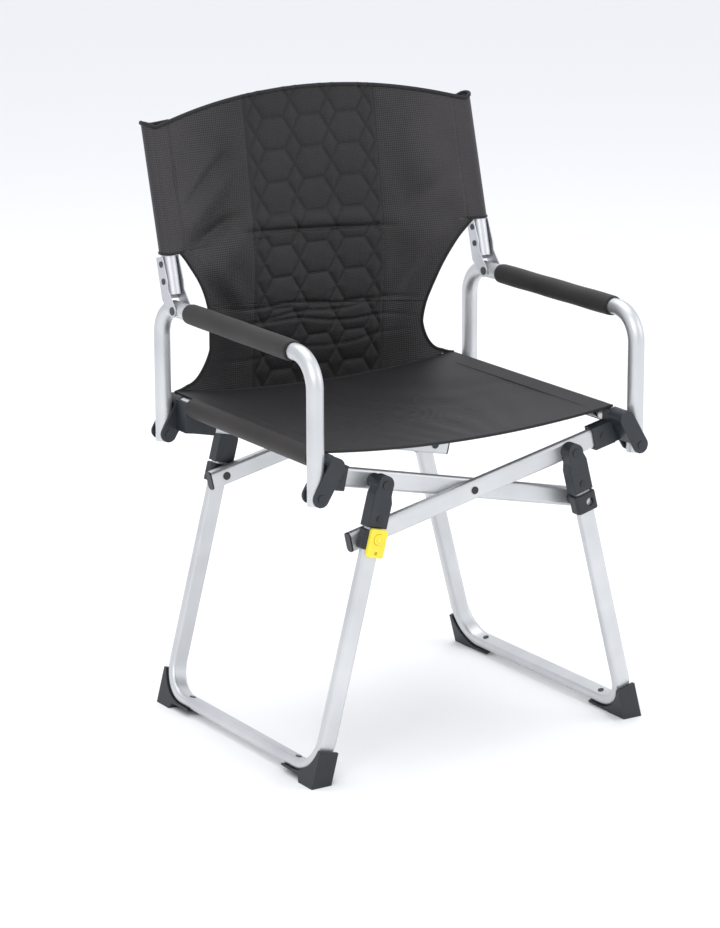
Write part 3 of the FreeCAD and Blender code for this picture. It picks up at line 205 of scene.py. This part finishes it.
def moulded(name, light, dark, low=0.36, high=0.58, grain=1400.0, **sockets):
    """Moulded plastic: a fine even grain, and faint lighter rubbed patches."""
    material, tree, shader = new_material(name, light, 0.45, **sockets)
    fine = stretched_noise(tree, (grain, grain, grain), 2.0)
    patches = stretched_noise(tree, (38, 38, 38), 4.0)
    tint(tree, shader, patches.outputs["Fac"], dark, light)
    roughen(tree, shader, patches.outputs["Fac"], low, high)
    bump(tree, shader, fine.outputs["Fac"], 0.22, 0.00015)
    return material


pale_tube, dark_tube = (0.66, 0.67, 0.675), (0.56, 0.57, 0.58)
slate, deep_slate = (0.017, 0.022, 0.028), (0.010, 0.013, 0.017)
looks = {
    "leg_tube": tube_metal("leg_tube", 2, pale_tube, dark_tube),
    "bar_tube": tube_metal("bar_tube", 0, pale_tube, dark_tube),
    "seat_rail_tube": tube_metal("seat_rail_tube", 1, (0.62, 0.62, 0.63), (0.54, 0.54, 0.56)),
    "arm_tube": tube_metal("arm_tube", 2, pale_tube, dark_tube),
    "back_tube": tube_metal("back_tube", 2, (0.66, 0.665, 0.68), (0.58, 0.585, 0.60)),
    "back_channel": tube_metal("back_channel", 2, (0.60, 0.61, 0.63), (0.52, 0.53, 0.56)),
    "foot_plastic": moulded("foot_plastic", (0.017, 0.019, 0.023), (0.010, 0.011, 0.014), 0.34, 0.6),
    "bracket_plastic": moulded("bracket_plastic", slate, deep_slate),
    "collar_plastic": moulded("collar_plastic", (0.015, 0.017, 0.021), (0.009, 0.011, 0.014)),
    "corner_plastic": moulded("corner_plastic", slate, deep_slate),
    "plug_plastic": moulded("plug_plastic", (0.015, 0.017, 0.021), (0.009, 0.011, 0.014)),
    "cap_plastic": moulded("cap_plastic", (0.012, 0.012, 0.014), (0.008, 0.008, 0.010)),
    "lock_yellow": moulded("lock_yellow", (0.86, 0.72, 0.050), (0.79, 0.64, 0.035), 0.26, 0.4),
    "button_yellow": moulded("button_yellow", (0.88, 0.75, 0.060), (0.82, 0.67, 0.045), 0.22, 0.36),
    "spring_steel": tube_metal("spring_steel", 0, (0.62, 0.62, 0.63), (0.5, 0.5, 0.51)),
    "rivet_dark": moulded("rivet_dark", (0.010, 0.010, 0.011), (0.006, 0.006, 0.007), 0.26, 0.44, 2200.0),
    "pivot_dark": moulded("pivot_dark", (0.013, 0.015, 0.018), (0.008, 0.009, 0.011), 0.24, 0.42, 2200.0),
    "cross_dark": moulded("cross_dark", (0.010, 0.010, 0.011), (0.006, 0.006, 0.007), 0.24, 0.4, 2200.0),
}
slot_of = {part["node"]: part["material_slot"] for part in frame["record"]["subparts"]}
for node, thing in frame["nodes"].items():
    look = looks.get(slot_of[node])
    if look and not thing.material_slots:
        thing.data.materials.append(look)
    for slot in thing.material_slots if look else ():
        slot.material = look


# ------------------------------------------------------------------ cloth materials
# Coated polyester. The back is a dull mesh whose crossing ribs catch light, the seat is a tighter twill,
# and the trim is a plain woven tape. Flat coordinates in metres are kept as UV, so the weave lies true.


def flat_weave(tree, pitch, turn):
    """Product of two waves on the flat cloth, turned by an angle: a field of small raised diamonds."""
    where = add(tree, "UVMap", uv_map="flat")
    spin = add(tree, "Mapping")
    spin.inputs["Rotation"].default_value = (0, 0, turn)
    spin.inputs["Scale"].default_value = (2 * math.pi / pitch[0], 2 * math.pi / pitch[1], 1)
    split = add(tree, "SeparateXYZ")
    tree.links.new(where.outputs[0], spin.inputs["Vector"])
    tree.links.new(spin.outputs[0], split.inputs[0])
    waves = []
    for axis in ("X", "Y"):
        wave = add(tree, "Math", operation="SINE")
        tree.links.new(split.outputs[axis], wave.inputs[0])
        waves.append(wave)
    both = add(tree, "Math", operation="MULTIPLY")
    for index, wave in enumerate(waves):
        tree.links.new(wave.outputs[0], both.inputs[index])
    lift = add(tree, "MapRange")
    lift.inputs["From Min"].default_value = -1.0
    tree.links.new(both.outputs[0], lift.inputs["Value"])
    return lift


def cloth(name, dark, light, pitch, turn, depth, low, high, sheen, share=0.5):
    """Woven cloth: raised diamonds are glossier than the ground and lighter by a painted sheen, over a cloudy
    change in tone.
    The tone also rises with the number that a piece may keep on its points as lift, which holds painted sheen
    and painted shade."""
    material, tree, shader = new_material(name, light, high, Sheen_Weight=sheen, Sheen_Roughness=0.45)
    shader.inputs["Specular IOR Level"].default_value = 0.38
    weave = flat_weave(tree, pitch, turn)
    cloud = stretched_noise(tree, (11, 11, 11), 4.0)
    mixed = add(tree, "Math", operation="MULTIPLY_ADD")
    mixed.inputs[1].default_value = share
    tree.links.new(weave.outputs[0], mixed.inputs[0])
    scaled = add(tree, "Math", operation="MULTIPLY")
    scaled.inputs[1].default_value = 1.0 - share
    tree.links.new(cloud.outputs["Fac"], scaled.inputs[0])
    tree.links.new(scaled.outputs[0], mixed.inputs[2])
    lift = add(tree, "Attribute", attribute_name="lift")
    raised = add(tree, "Math", operation="MULTIPLY_ADD")
    raised.inputs[1].default_value = 0.55
    tree.links.new(lift.outputs["Fac"], raised.inputs[0])
    tree.links.new(mixed.outputs[0], raised.inputs[2])
    # Tone: a painted sheen that lightens the raised diamonds, plus the painted sheen and shade of the lift,
    # over a cloudy random change in tone.
    tint(tree, shader, raised.outputs[0], dark, light, 0.25, 0.8)
    roughen(tree, shader, weave.outputs[0], high, low)
    bump(tree, shader, weave.outputs[0], 0.6, depth)
    return material


back_mesh = cloth(
    "back_mesh", (0.0036, 0.0028, 0.0032), (0.031, 0.0275, 0.0285), (0.0046, 0.0046), math.radians(45),
    0.0009, 0.26, 0.72, 0.05,
)
quilt_mesh = cloth(
    "quilt_mesh", (0.0042, 0.0032, 0.0036), (0.0165, 0.0140, 0.0150), (0.0030, 0.0030), math.radians(45),
    0.0005, 0.36, 0.70, 0.04,
)
seat_twill = cloth(
    "seat_twill", (0.0036, 0.0026, 0.0031), (0.0125, 0.0096, 0.0110), (0.0046, 0.0026), math.radians(28),
    0.0006, 0.40, 0.74, 0.03,
)
side_band = cloth(
    "side_band", (0.010, 0.0080, 0.0074), (0.030, 0.0250, 0.0235), (0.0026, 0.0026), math.radians(45),
    0.0004, 0.5, 0.78, 0.08,
)
tape = cloth(
    "tape", (0.0050, 0.0050, 0.0054), (0.0130, 0.0130, 0.0140), (0.0016, 0.0030), 0.0, 0.0003, 0.5, 0.8, 0.06,
)
pad_rib = cloth(
    "pad_rib", (0.010, 0.0088, 0.0086), (0.036, 0.0325, 0.0310), (0.0022, 0.0046), math.radians(24),
    0.0005, 0.55, 0.85, 0.08,
)


def grid_mesh(name, points, flat, material, thickness=0.0):
    """A mesh on a grid of points[row, column]; cells with a missing point are left out. flat holds the cloth
    coordinates in metres. With a thickness, the cloth gets a second face behind it."""
    rows, columns = points.shape[:2]
    whole = ~np.isnan(points[..., 0])
    number = np.full((rows, columns), -1)
    number[whole] = np.arange(whole.sum())
    cells = whole[:-1, :-1] & whole[:-1, 1:] & whole[1:, 1:] & whole[1:, :-1]
    r, c = np.nonzero(cells)
    faces = np.stack([number[r, c], number[r, c + 1], number[r + 1, c + 1], number[r + 1, c]], 1)
    mesh = bpy.data.meshes.new(name)
    mesh.from_pydata(points[whole].tolist(), [], faces.tolist())
    layer = mesh.uv_layers.new(name="flat")
    corners = flat[whole][faces.ravel()]
    layer.data.foreach_set("uv", corners.astype(np.float32).ravel())
    mesh.polygons.foreach_set("use_smooth", [True] * len(mesh.polygons))
    mesh.materials.append(material)
    mesh.update()
    thing = bpy.data.objects.new(name, mesh)
    scene.collection.objects.link(thing)
    if thickness:
        skin = thing.modifiers.new("thickness", "SOLIDIFY")
        skin.thickness, skin.offset = thickness, -1
    return thing


def cord_mesh(name, line, radius, material, flatten=1.0):
    """A round or flattened binding along a line: at each point a ring of eight, which is the cosine of the
    angle times the line's side direction plus the flattened sine times its normal, times the radius."""
    line = np.asarray(line, float)
    ahead = np.gradient(line, axis=0)
    ahead /= np.linalg.norm(ahead, axis=1, keepdims=True)
    reference = np.where(np.abs(ahead[:, 1:2]) > 0.9, [[1.0, 0, 0]], [[0, 1.0, 0]])
    side = np.cross(ahead, reference)
    side /= np.linalg.norm(side, axis=1, keepdims=True)
    normal = np.cross(side, ahead)
    angle = np.linspace(0, 2 * math.pi, 9)
    turned = angle[None, :, None]
    ring = np.cos(turned) * side[:, None] + flatten * np.sin(turned) * normal[:, None]
    points = line[:, None] + radius * ring
    run = np.concatenate([[0], np.cumsum(np.linalg.norm(np.diff(line, axis=0), axis=1))])
    flat = np.stack(np.broadcast_arrays(run[:, None], radius * angle[None]), -1)
    return grid_mesh(name, points, flat, material)


# ------------------------------------------------------------------ seat
# One cloth hung between the two rails. It sags towards the middle, wraps each rail between the corner
# fittings, and shows drawn-in folds that fan from the middle of the front and the right rear.

RAIL_X, RAIL_Z, WRAP = 0.245, 0.457, 0.0139
SEAT_FRONT, SEAT_BACK, SLEEVE_FRONT, SLEEVE_BACK = -0.203, 0.2092, -0.1785, 0.1585
SAG, DISH, WEB_LIFT = 0.015, 0.004, 0.001
TAIL_X = 0.214
CLOTH_THICK = 0.0014


def bell(value, centre, broad, power=2):
    """One at the centre, falling to none either side: e to minus the distance over the breadth, raised to
    the power."""
    return np.exp(-(((value - centre) / broad) ** power))


def seat_height(x, y):
    """Top of the seat: a parabola of the sag across, a slight cosine dish from front to back, and shallow sine
    folds that fan out from the front or slant at the right rear, stronger mid-seat and gone at the rails."""
    across = np.clip(1 - (x / RAIL_X) ** 2, 0, 1)
    height = RAIL_Z + WRAP + WEB_LIFT - SAG * across
    height = height - DISH * across * np.cos(np.pi * (y - 0.0025) / 0.411)
    fan = np.arctan2(x - 0.02, y + 0.36)
    folds = np.sin(fan * 34 + 2.0 * np.sin(y * 13)) * bell(y, -0.13, 0.10)
    pull = np.sin((x * 0.8 + y * 0.6) * 74 + 1.5 * np.sin(x * 21)) * bell(x, 0.13, 0.09) * bell(y, 0.09, 0.10)
    small = np.sin(x * 61 + 3 * np.sin(y * 17)) * np.sin(y * 47 + 2 * np.sin(x * 23))
    fine = np.sin(x * 210 + 4 * np.sin(y * 60)) * np.sin(y * 170 + 5 * np.sin(x * 50 + 1))
    fine = fine * bell(x, -0.01, 0.13) * bell(y, -0.02, 0.13)
    calm = np.clip((y - SEAT_FRONT) / 0.03, 0, 1)
    return height + across * calm * (0.0006 * folds + 0.0012 * pull + 0.0005 * small + 0.00045 * fine)


def second_finish(thing, material, chosen):
    """Gives a second material to the faces whose centres' x, y and z meet the test."""
    thing.data.materials.append(material)
    centres = np.zeros(3 * len(thing.data.polygons))
    thing.data.polygons.foreach_get("center", centres)
    thing.data.polygons.foreach_set("material_index", chosen(*centres.reshape(-1, 3).T).astype(np.int32))


web = np.linspace(-RAIL_X, RAIL_X, 165)
down = np.sort(np.concatenate([np.linspace(SEAT_FRONT, SEAT_BACK, 138), [SLEEVE_FRONT, SLEEVE_BACK]]))
turn = np.radians(np.linspace(80, -90, 16))
tail = np.linspace(RAIL_X, TAIL_X, 7)[1:]
side_x = np.concatenate([RAIL_X + WRAP * np.cos(turn), tail])
side_z = np.concatenate([WRAP * np.sin(turn), -WRAP + (RAIL_X - tail) / (RAIL_X - TAIL_X) * (WRAP * 1.75)])
across = np.concatenate([-side_x[::-1], web, side_x])
hanging = np.concatenate([side_z[::-1], np.zeros_like(web), side_z])
on_web = np.zeros(len(across), bool)
on_web[len(side_x):-len(side_x)] = True
rise = np.where(on_web[1:] | on_web[:-1], 0, np.diff(hanging))
run = np.concatenate([[0], np.cumsum(np.hypot(np.diff(across), rise))])
x, y = np.meshgrid(across, down)
points = np.stack([x, y, np.where(on_web, seat_height(x, y), RAIL_Z + hanging)], -1)
points[~on_web & ((y < SLEEVE_FRONT - 1e-6) | (y > SLEEVE_BACK + 1e-6))] = np.nan
flat = np.stack(np.meshgrid(run, down), -1)
seat = grid_mesh("seat_cloth", points, flat, seat_twill, CLOTH_THICK)
second_finish(seat, side_band, lambda x, y, z: (np.abs(x) > RAIL_X - 0.001) & (z < RAIL_Z + WRAP + 0.0005))
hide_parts("seat_sheet")

trims = []
for name, edge in (("seat_front_tape", SEAT_FRONT), ("seat_back_tape", SEAT_BACK)):
    xs = np.linspace(-RAIL_X + 0.001, RAIL_X - 0.001, 120)
    line = np.stack([xs, np.full_like(xs, edge), seat_height(xs, edge) - 0.0008], 1)
    trims.append(cord_mesh(name, line, 0.0021, tape, 0.7))
for piece in [seat, *trims]:
    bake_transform(piece)


# ------------------------------------------------------------------ backrest
# Two cloths that look like one: the upper is sleeved on the uprights and folds with them, the lower runs
# down to the seat and stays. A quilted panel of stacked hexagons runs through both, between two seams.

LEAN = math.radians(15)
SLOPE = math.tan(LEAN)
ARM_X, ARM_Z, ARM_Y = 0.270, 0.608, 0.15946
HEM, WAIST, SLEEVE_Z, SHOULDER = 0.474, 0.528, 0.6864, 0.862
ARCH, HORN, HORN_X = 0.038, 0.007, 0.284
TUBE_WRAP = 0.0128
DEEP = TUBE_WRAP / math.cos(LEAN)
SPLIT, LAP, TILT = 0.578, 0.052, -0.10
PANEL, SEWN = 0.113, 0.911
STEP = 0.0020
HEX_WIDE, HEX_HIGH, HEX_FLAT, HEX_Z = 0.0637, 0.0470, 0.035, 0.6
level = np.array([0.472, WAIST, ARM_Z, 0.698, 0.798, 0.902])
middle_curve = np.polyfit(level, [0.212, 0.208, 0.207, 0.212, 0.223, 0.2375], 4)


def upright(z):
    """Y of the upright's centre line at a height: a straight line through the arm's pivot."""
    return ARM_Y + (z - ARM_Z) * SLOPE


def circle_x(z, a, b, c):
    """X at a height on the circle through three points (x, z), on the side of the middle point."""
    (x1, z1), (x2, z2), (x3, z3) = a, b, c
    side = 2 * np.array([[x2 - x1, z2 - z1], [x3 - x1, z3 - z1]])
    cx, cz = np.linalg.solve(side, [x2**2 - x1**2 + z2**2 - z1**2, x3**2 - x1**2 + z3**2 - z1**2])
    radius = math.hypot(x1 - cx, z1 - cz)
    return cx + math.copysign(1, x2 - cx) * np.sqrt(np.maximum(radius**2 - (z - cz) ** 2, 0))


def half_width(z):
    """Half the cloth's width: the skirt's flare, the waist, the armhole and then the full width."""
    low = circle_x(z, (0.246, HEM), (0.207, 0.492), (0.186, WAIST))
    hole = circle_x(z, (0.186, WAIST), (0.2066, 0.6165), (0.2546, 0.6861))
    return np.where(z < WAIST, low, np.where(z < SLEEVE_Z, hole, ARM_X))


def cloth_depth(x, z):
    """Front face of the back: a parabola across from the middle line to the front of the uprights. Below the
    sleeves its edges run back to meet the seat's rear edge."""
    t = np.clip((z - HEM) / (SLEEVE_Z - HEM), 0, 1)
    ease = 1 - t * t * (3 - 2 * t)
    edge = upright(z) - DEEP + (0.0874 + 0.0128) * ease
    middle = np.polyval(middle_curve, z)
    return middle + (edge - middle) * np.clip(np.abs(x) / ARM_X, 0, 1) ** 2


def hexagons(x, z):
    """Distance to the stitch lines of hexagons stacked in columns that touch at their points."""
    px = np.abs((x / HEX_WIDE + 0.5) % 1 - 0.5) * HEX_WIDE
    pz = np.abs(((z - HEX_Z) / HEX_HIGH + 0.5) % 1 - 0.5) * HEX_HIGH
    level_line = np.hypot(np.maximum(px - HEX_FLAT / 2, 0), pz - HEX_HIGH / 2)
    dx, dz = (HEX_WIDE - HEX_FLAT) / 2, -HEX_HIGH / 2
    from_x, from_z = px - HEX_FLAT / 2, pz - HEX_HIGH / 2
    share = np.clip((from_x * dx + from_z * dz) / (dx**2 + dz**2), 0, 1)
    return np.minimum(level_line, np.hypot(from_x - share * dx, from_z - share * dz))


def wing_folds(x, z):
    """Folds in the wings: slow slanting waves, deeper on the left, less three long bell-shaped hollows that
    each lie along a line from one point to another."""
    deeper = np.where(x < 0, 1.0, 0.45)
    folds = 0.0075 * deeper * np.sin((np.abs(x) * 0.75 + (z - 0.62) * 0.85) * 52) * bell(z, 0.735, 0.085)
    for (ax, az), (bx, bz), broad, depth in (
        ((-0.232, 0.742), (-0.150, 0.812), 0.013, 0.0110),
        ((-0.215, 0.690), (-0.128, 0.722), 0.012, 0.0090),
        ((0.150, 0.700), (0.225, 0.760), 0.016, 0.0055),
    ):
        long = math.hypot(bx - ax, bz - az)
        go = ((x - ax) * (bx - ax) + (z - az) * (bz - az)) / long**2
        off = ((x - ax) * (bz - az) - (z - az) * (bx - ax)) / long
        folds = folds - depth * bell(off, 0, broad) * bell(go, 0.5, 0.55, 4)
    return folds


def belly_creases(x, z):
    """Level creases across the middle: a sharp valley under a broad swell at the waist, and four narrow
    valleys below it that wave a little. All fade out towards the sides."""
    swell = -0.0042 * bell(z + 0.055 * x, 0.690, 0.0032) + 0.0040 * bell(z + 0.055 * x, 0.704, 0.0120)
    creases = swell * bell(x, 0, 0.12, 4)
    for at, tilt, depth in (
        (0.578, 0.05, 0.0022), (0.566, -0.03, 0.0018), (0.552, 0.07, 0.0020), (0.511, -0.04, 0.0014),
    ):
        wave = tilt * x + 0.003 * np.sin(x * 40)
        creases = creases - depth * bell(z + wave, at, 0.0028) * bell(x, 0, 0.15, 4)
    return creases


def relief(x, z):
    """How far the cloth stands forward: puffed cells inside the panel, the two seams beside it, slow folds in
    the wings that run to the armholes, and level creases across the belly."""
    inside = 1 / (1 + np.exp((np.abs(x) - PANEL + 0.004) / 0.0012))
    line = hexagons(x, z)
    cells = 0.0016 * (1 - bell(line, 0, 0.0085)) - 0.0015 * bell(line, 0, 0.0020)
    seam = -0.0014 * bell(np.abs(x), PANEL, 0.0020)
    wing = np.clip((np.abs(x) - PANEL) / 0.04, 0, 1) * np.clip((0.262 - np.abs(x)) / 0.03, 0, 1)
    low_folds = 0.0022 * np.sin((np.abs(x) - (z - 0.55) * 0.9) * 88) * bell(z, 0.60, 0.05)
    return cells * inside + seam + wing * (wing_folds(x, z) + low_folds) + belly_creases(x, z)


def top_edge(x, z):
    """Rise of a row towards the arched top, with a small point at each corner."""
    t = np.clip((z - 0.70) / (SHOULDER - 0.70), 0, 1)
    arch = ARCH * (1 - np.clip(np.abs(x) / ARM_X, 0, 1) ** 2)
    return t * t * (3 - 2 * t) * (arch + HORN * bell(np.abs(x), HORN_X, 0.012))


rows = np.concatenate([
    np.arange(SPLIT, SLEEVE_Z - 0.0012, STEP), [SLEEVE_Z - 0.0003, SLEEVE_Z],
    np.arange(SLEEVE_Z + STEP, SHOULDER - 0.0012, STEP), [SHOULDER],
])
sewn = rows >= SLEEVE_Z
sleeve_row = int(np.flatnonzero(sewn)[0])
turn = np.radians(np.linspace(-78, 90, 13))
tail = np.linspace(0, 1, 5)[1:]
half = np.concatenate([np.linspace(0.42, SEWN, 40)[1:], np.linspace(SEWN, 1, 8)[1:]])
share = np.concatenate([-half[::-1], np.linspace(-0.42, 0.42, 119), half])
count = len(turn) + len(tail)
points = np.full((len(rows), len(share) + 2 * count, 3), np.nan)
flat = np.zeros((*points.shape[:2], 2))
z = rows[:, None]
x = share * half_width(z)
height = z + top_edge(x, z) + TILT * x * (1 - np.clip((z - SPLIT) / 0.09, 0, 1)) ** 2
x = share * np.where(z < SLEEVE_Z, half_width(height), ARM_X)
points[:, count:-count] = np.stack([x, cloth_depth(x, height) - relief(x, height), height], -1)
flat[:, count:-count] = np.stack([x, height], -1)

z = rows[sewn, None]
side_x = np.concatenate([ARM_X + TUBE_WRAP * np.cos(turn), ARM_X - tail * 0.028])
tail_y = upright(z) + DEEP + tail * (cloth_depth(0.242, z) + 0.0022 - upright(z) - DEEP)
side_y = np.concatenate([upright(z) + DEEP * np.sin(turn), tail_y], 1)
side_z = z + top_edge(side_x, z)
along = np.cumsum(np.hypot(np.diff(side_x, prepend=ARM_X), np.diff(side_y, prepend=side_y[:, :1])), 1)
wrapped = np.stack(np.broadcast_arrays(side_x, side_y + (side_z - z) * SLOPE, side_z), -1)
points[sewn, -count:] = wrapped
points[sewn, :count] = wrapped[:, ::-1] * (-1, 1, 1)
flat[sewn, -count:] = np.stack([ARM_X + along, side_z], -1)
flat[sewn, :count] = flat[sewn, -count:][:, ::-1] * (-1, 1)

reach = np.concatenate([np.full(count, -2.0), share, np.full(count, 2.0)])
middle, left_side, right_side = np.abs(reach) < SEWN + 1e-6, reach < 1e-6 - SEWN, reach > SEWN - 1e-6
pieces = {}
for name, kept in (
    ("back_cloth_upper", middle | ~sewn[:, None]),
    ("left_sleeve_cloth", left_side & sewn[:, None]),
    ("right_sleeve_cloth", right_side & sewn[:, None]),
):
    place = np.where(kept[..., None], points, np.nan)
    pieces[name] = grid_mesh(name, place, flat, back_mesh, CLOTH_THICK), place
edges = [("top_tape", points[-1, middle], 0.0032, "back_cloth_upper")]
for name, kept, end in (("left", left_side, 0), ("right", right_side, -1)):
    outer = np.flatnonzero(np.abs(reach) <= 1)[end]
    edges += [
        (f"{name}_top_tape", points[-1, kept], 0.0032, f"{name}_sleeve_cloth"),
        (f"{name}_sleeve_tape", points[sleeve_row, kept], 0.0020, f"{name}_sleeve_cloth"),
        (f"{name}_armhole_tape", points[:sleeve_row, outer], 0.0024, "back_cloth_upper"),
    ]

z = np.arange(HEM, SPLIT + LAP, STEP)[:, None]
x = np.linspace(-1, 1, 201) * half_width(z)
tuck = np.clip((z - SPLIT - TILT * x) / 0.006, 0, 1)
x = x * (1 - 0.045 * tuck)
height = z - bell(z, HEM, 0.03) * (0.0032 + (SAG + 0.003) * np.clip(1 - (x / 0.225) ** 4, 0, 1))
y = cloth_depth(x, height) - relief(x, height) * (1 - tuck) + 0.0046 * tuck
points, flat = np.stack([x, y, height], -1), np.stack([x, height], -1)
pieces["back_cloth_lower"] = grid_mesh("back_cloth_lower", points, flat, back_mesh, CLOTH_THICK), points
for name, end in (("left", 0), ("right", -1)):
    side = points[:, end]
    shown = side[:, 2] < SPLIT + TILT * side[:, 0] + 0.004
    edges.append((f"{name}_waist_tape", side[shown], 0.0024, "back_cloth_lower"))

taped = {name: [] for name in pieces}
for name, line, radius, owner in edges:
    taped[owner].append(cord_mesh(name, line, radius, tape, 0.75))
held = {
    "back_cloth_upper": ("left_upright", (0.50, 0.33), 0.158, ["left_sleeve_cloth", "right_sleeve_cloth"]),
    "left_sleeve_cloth": ("left_upright", (0.098, 0.185), 0.0181, ["left_back_tube"]),
    "right_sleeve_cloth": ("right_upright", (0.098, 0.185), 0.0181, ["right_back_tube"]),
    "back_cloth_lower": ("left_arm", (0.49, 0.175), 0.0714, ["seat_cloth", "back_cloth_upper"]),
}
for name, (body, size, area, below) in held.items():
    piece, place = pieces[name]
    x, z = place[~np.isnan(place[..., 0])][:, [0, 2]].T
    stitch = bell(hexagons(x, z), 0, 0.0018) * (np.abs(x) < PANEL - 0.003)
    # The wings get a painted sheen, lighter than the panel and the right one more so, and the stitch lines get
    # painted shade in their grooves.
    wings = np.clip((np.abs(x) - 0.16) / 0.09, 0, 1) * np.where(x > 0, 1.1, 0.6)
    lift = piece.data.attributes.new("lift", "FLOAT", "POINT")
    lift.data.foreach_set("value", (wings - 0.7 * stitch).astype(np.float32))
    second_finish(piece, quilt_mesh, lambda x, y, z: np.abs(x) < PANEL)
    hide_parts("back_sheet")
    for thing in [piece, *taped[name]]:
        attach(thing, body)
        if "sleeve" not in name:
            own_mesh(thing)


# ------------------------------------------------------------------ arm pads
# Foam sleeves in a ribbed cloth: nearly round, a little flattened and lumpy, with a chamfer and a dark
# round rim at each end where the cloth is gathered onto the tube.

PAD_FRONT, PAD_BACK, PAD_RADIUS, RIM = -0.168, 0.118, 0.0150, 0.0030
from_end = np.array([0.0006, 0, 0.0008, RIM])
chamfer = [0.0123, 0.0128, 0.0138, 0.0147]
for name, middle in (("left", -ARM_X), ("right", ARM_X)):
    along = np.concatenate([
        PAD_FRONT + from_end, np.linspace(PAD_FRONT + 0.006, PAD_BACK - 0.006, 96), PAD_BACK - from_end[::-1],
    ])[:, None]
    reach = np.full_like(along, PAD_RADIUS)
    reach[:4, 0], reach[-4:, 0] = chamfer, chamfer[::-1]
    angle = np.linspace(0, 2 * math.pi, 49)
    lumps = 0.00035 * np.sin(along * 63) * np.cos(angle * 2) - 0.0003 * np.cos(4 * angle)
    lumps[:3] = lumps[-3:] = 0
    size = np.minimum(reach + lumps, PAD_RADIUS + 0.0002)
    points = np.stack(np.broadcast_arrays(
        middle + size * np.cos(angle), along, ARM_Z + size * np.sin(angle),
    ), -1)
    flat = np.stack(np.broadcast_arrays(PAD_RADIUS * angle, along), -1)
    pad = grid_mesh(f"{name}_pad_cloth", points[:, ::-1], flat[:, ::-1], pad_rib)
    second_finish(pad, tape, lambda x, y, z: (y < PAD_FRONT + RIM) | (y > PAD_BACK - RIM))
    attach(pad, f"{name}_arm")
    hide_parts(f"{name}_arm_pad")
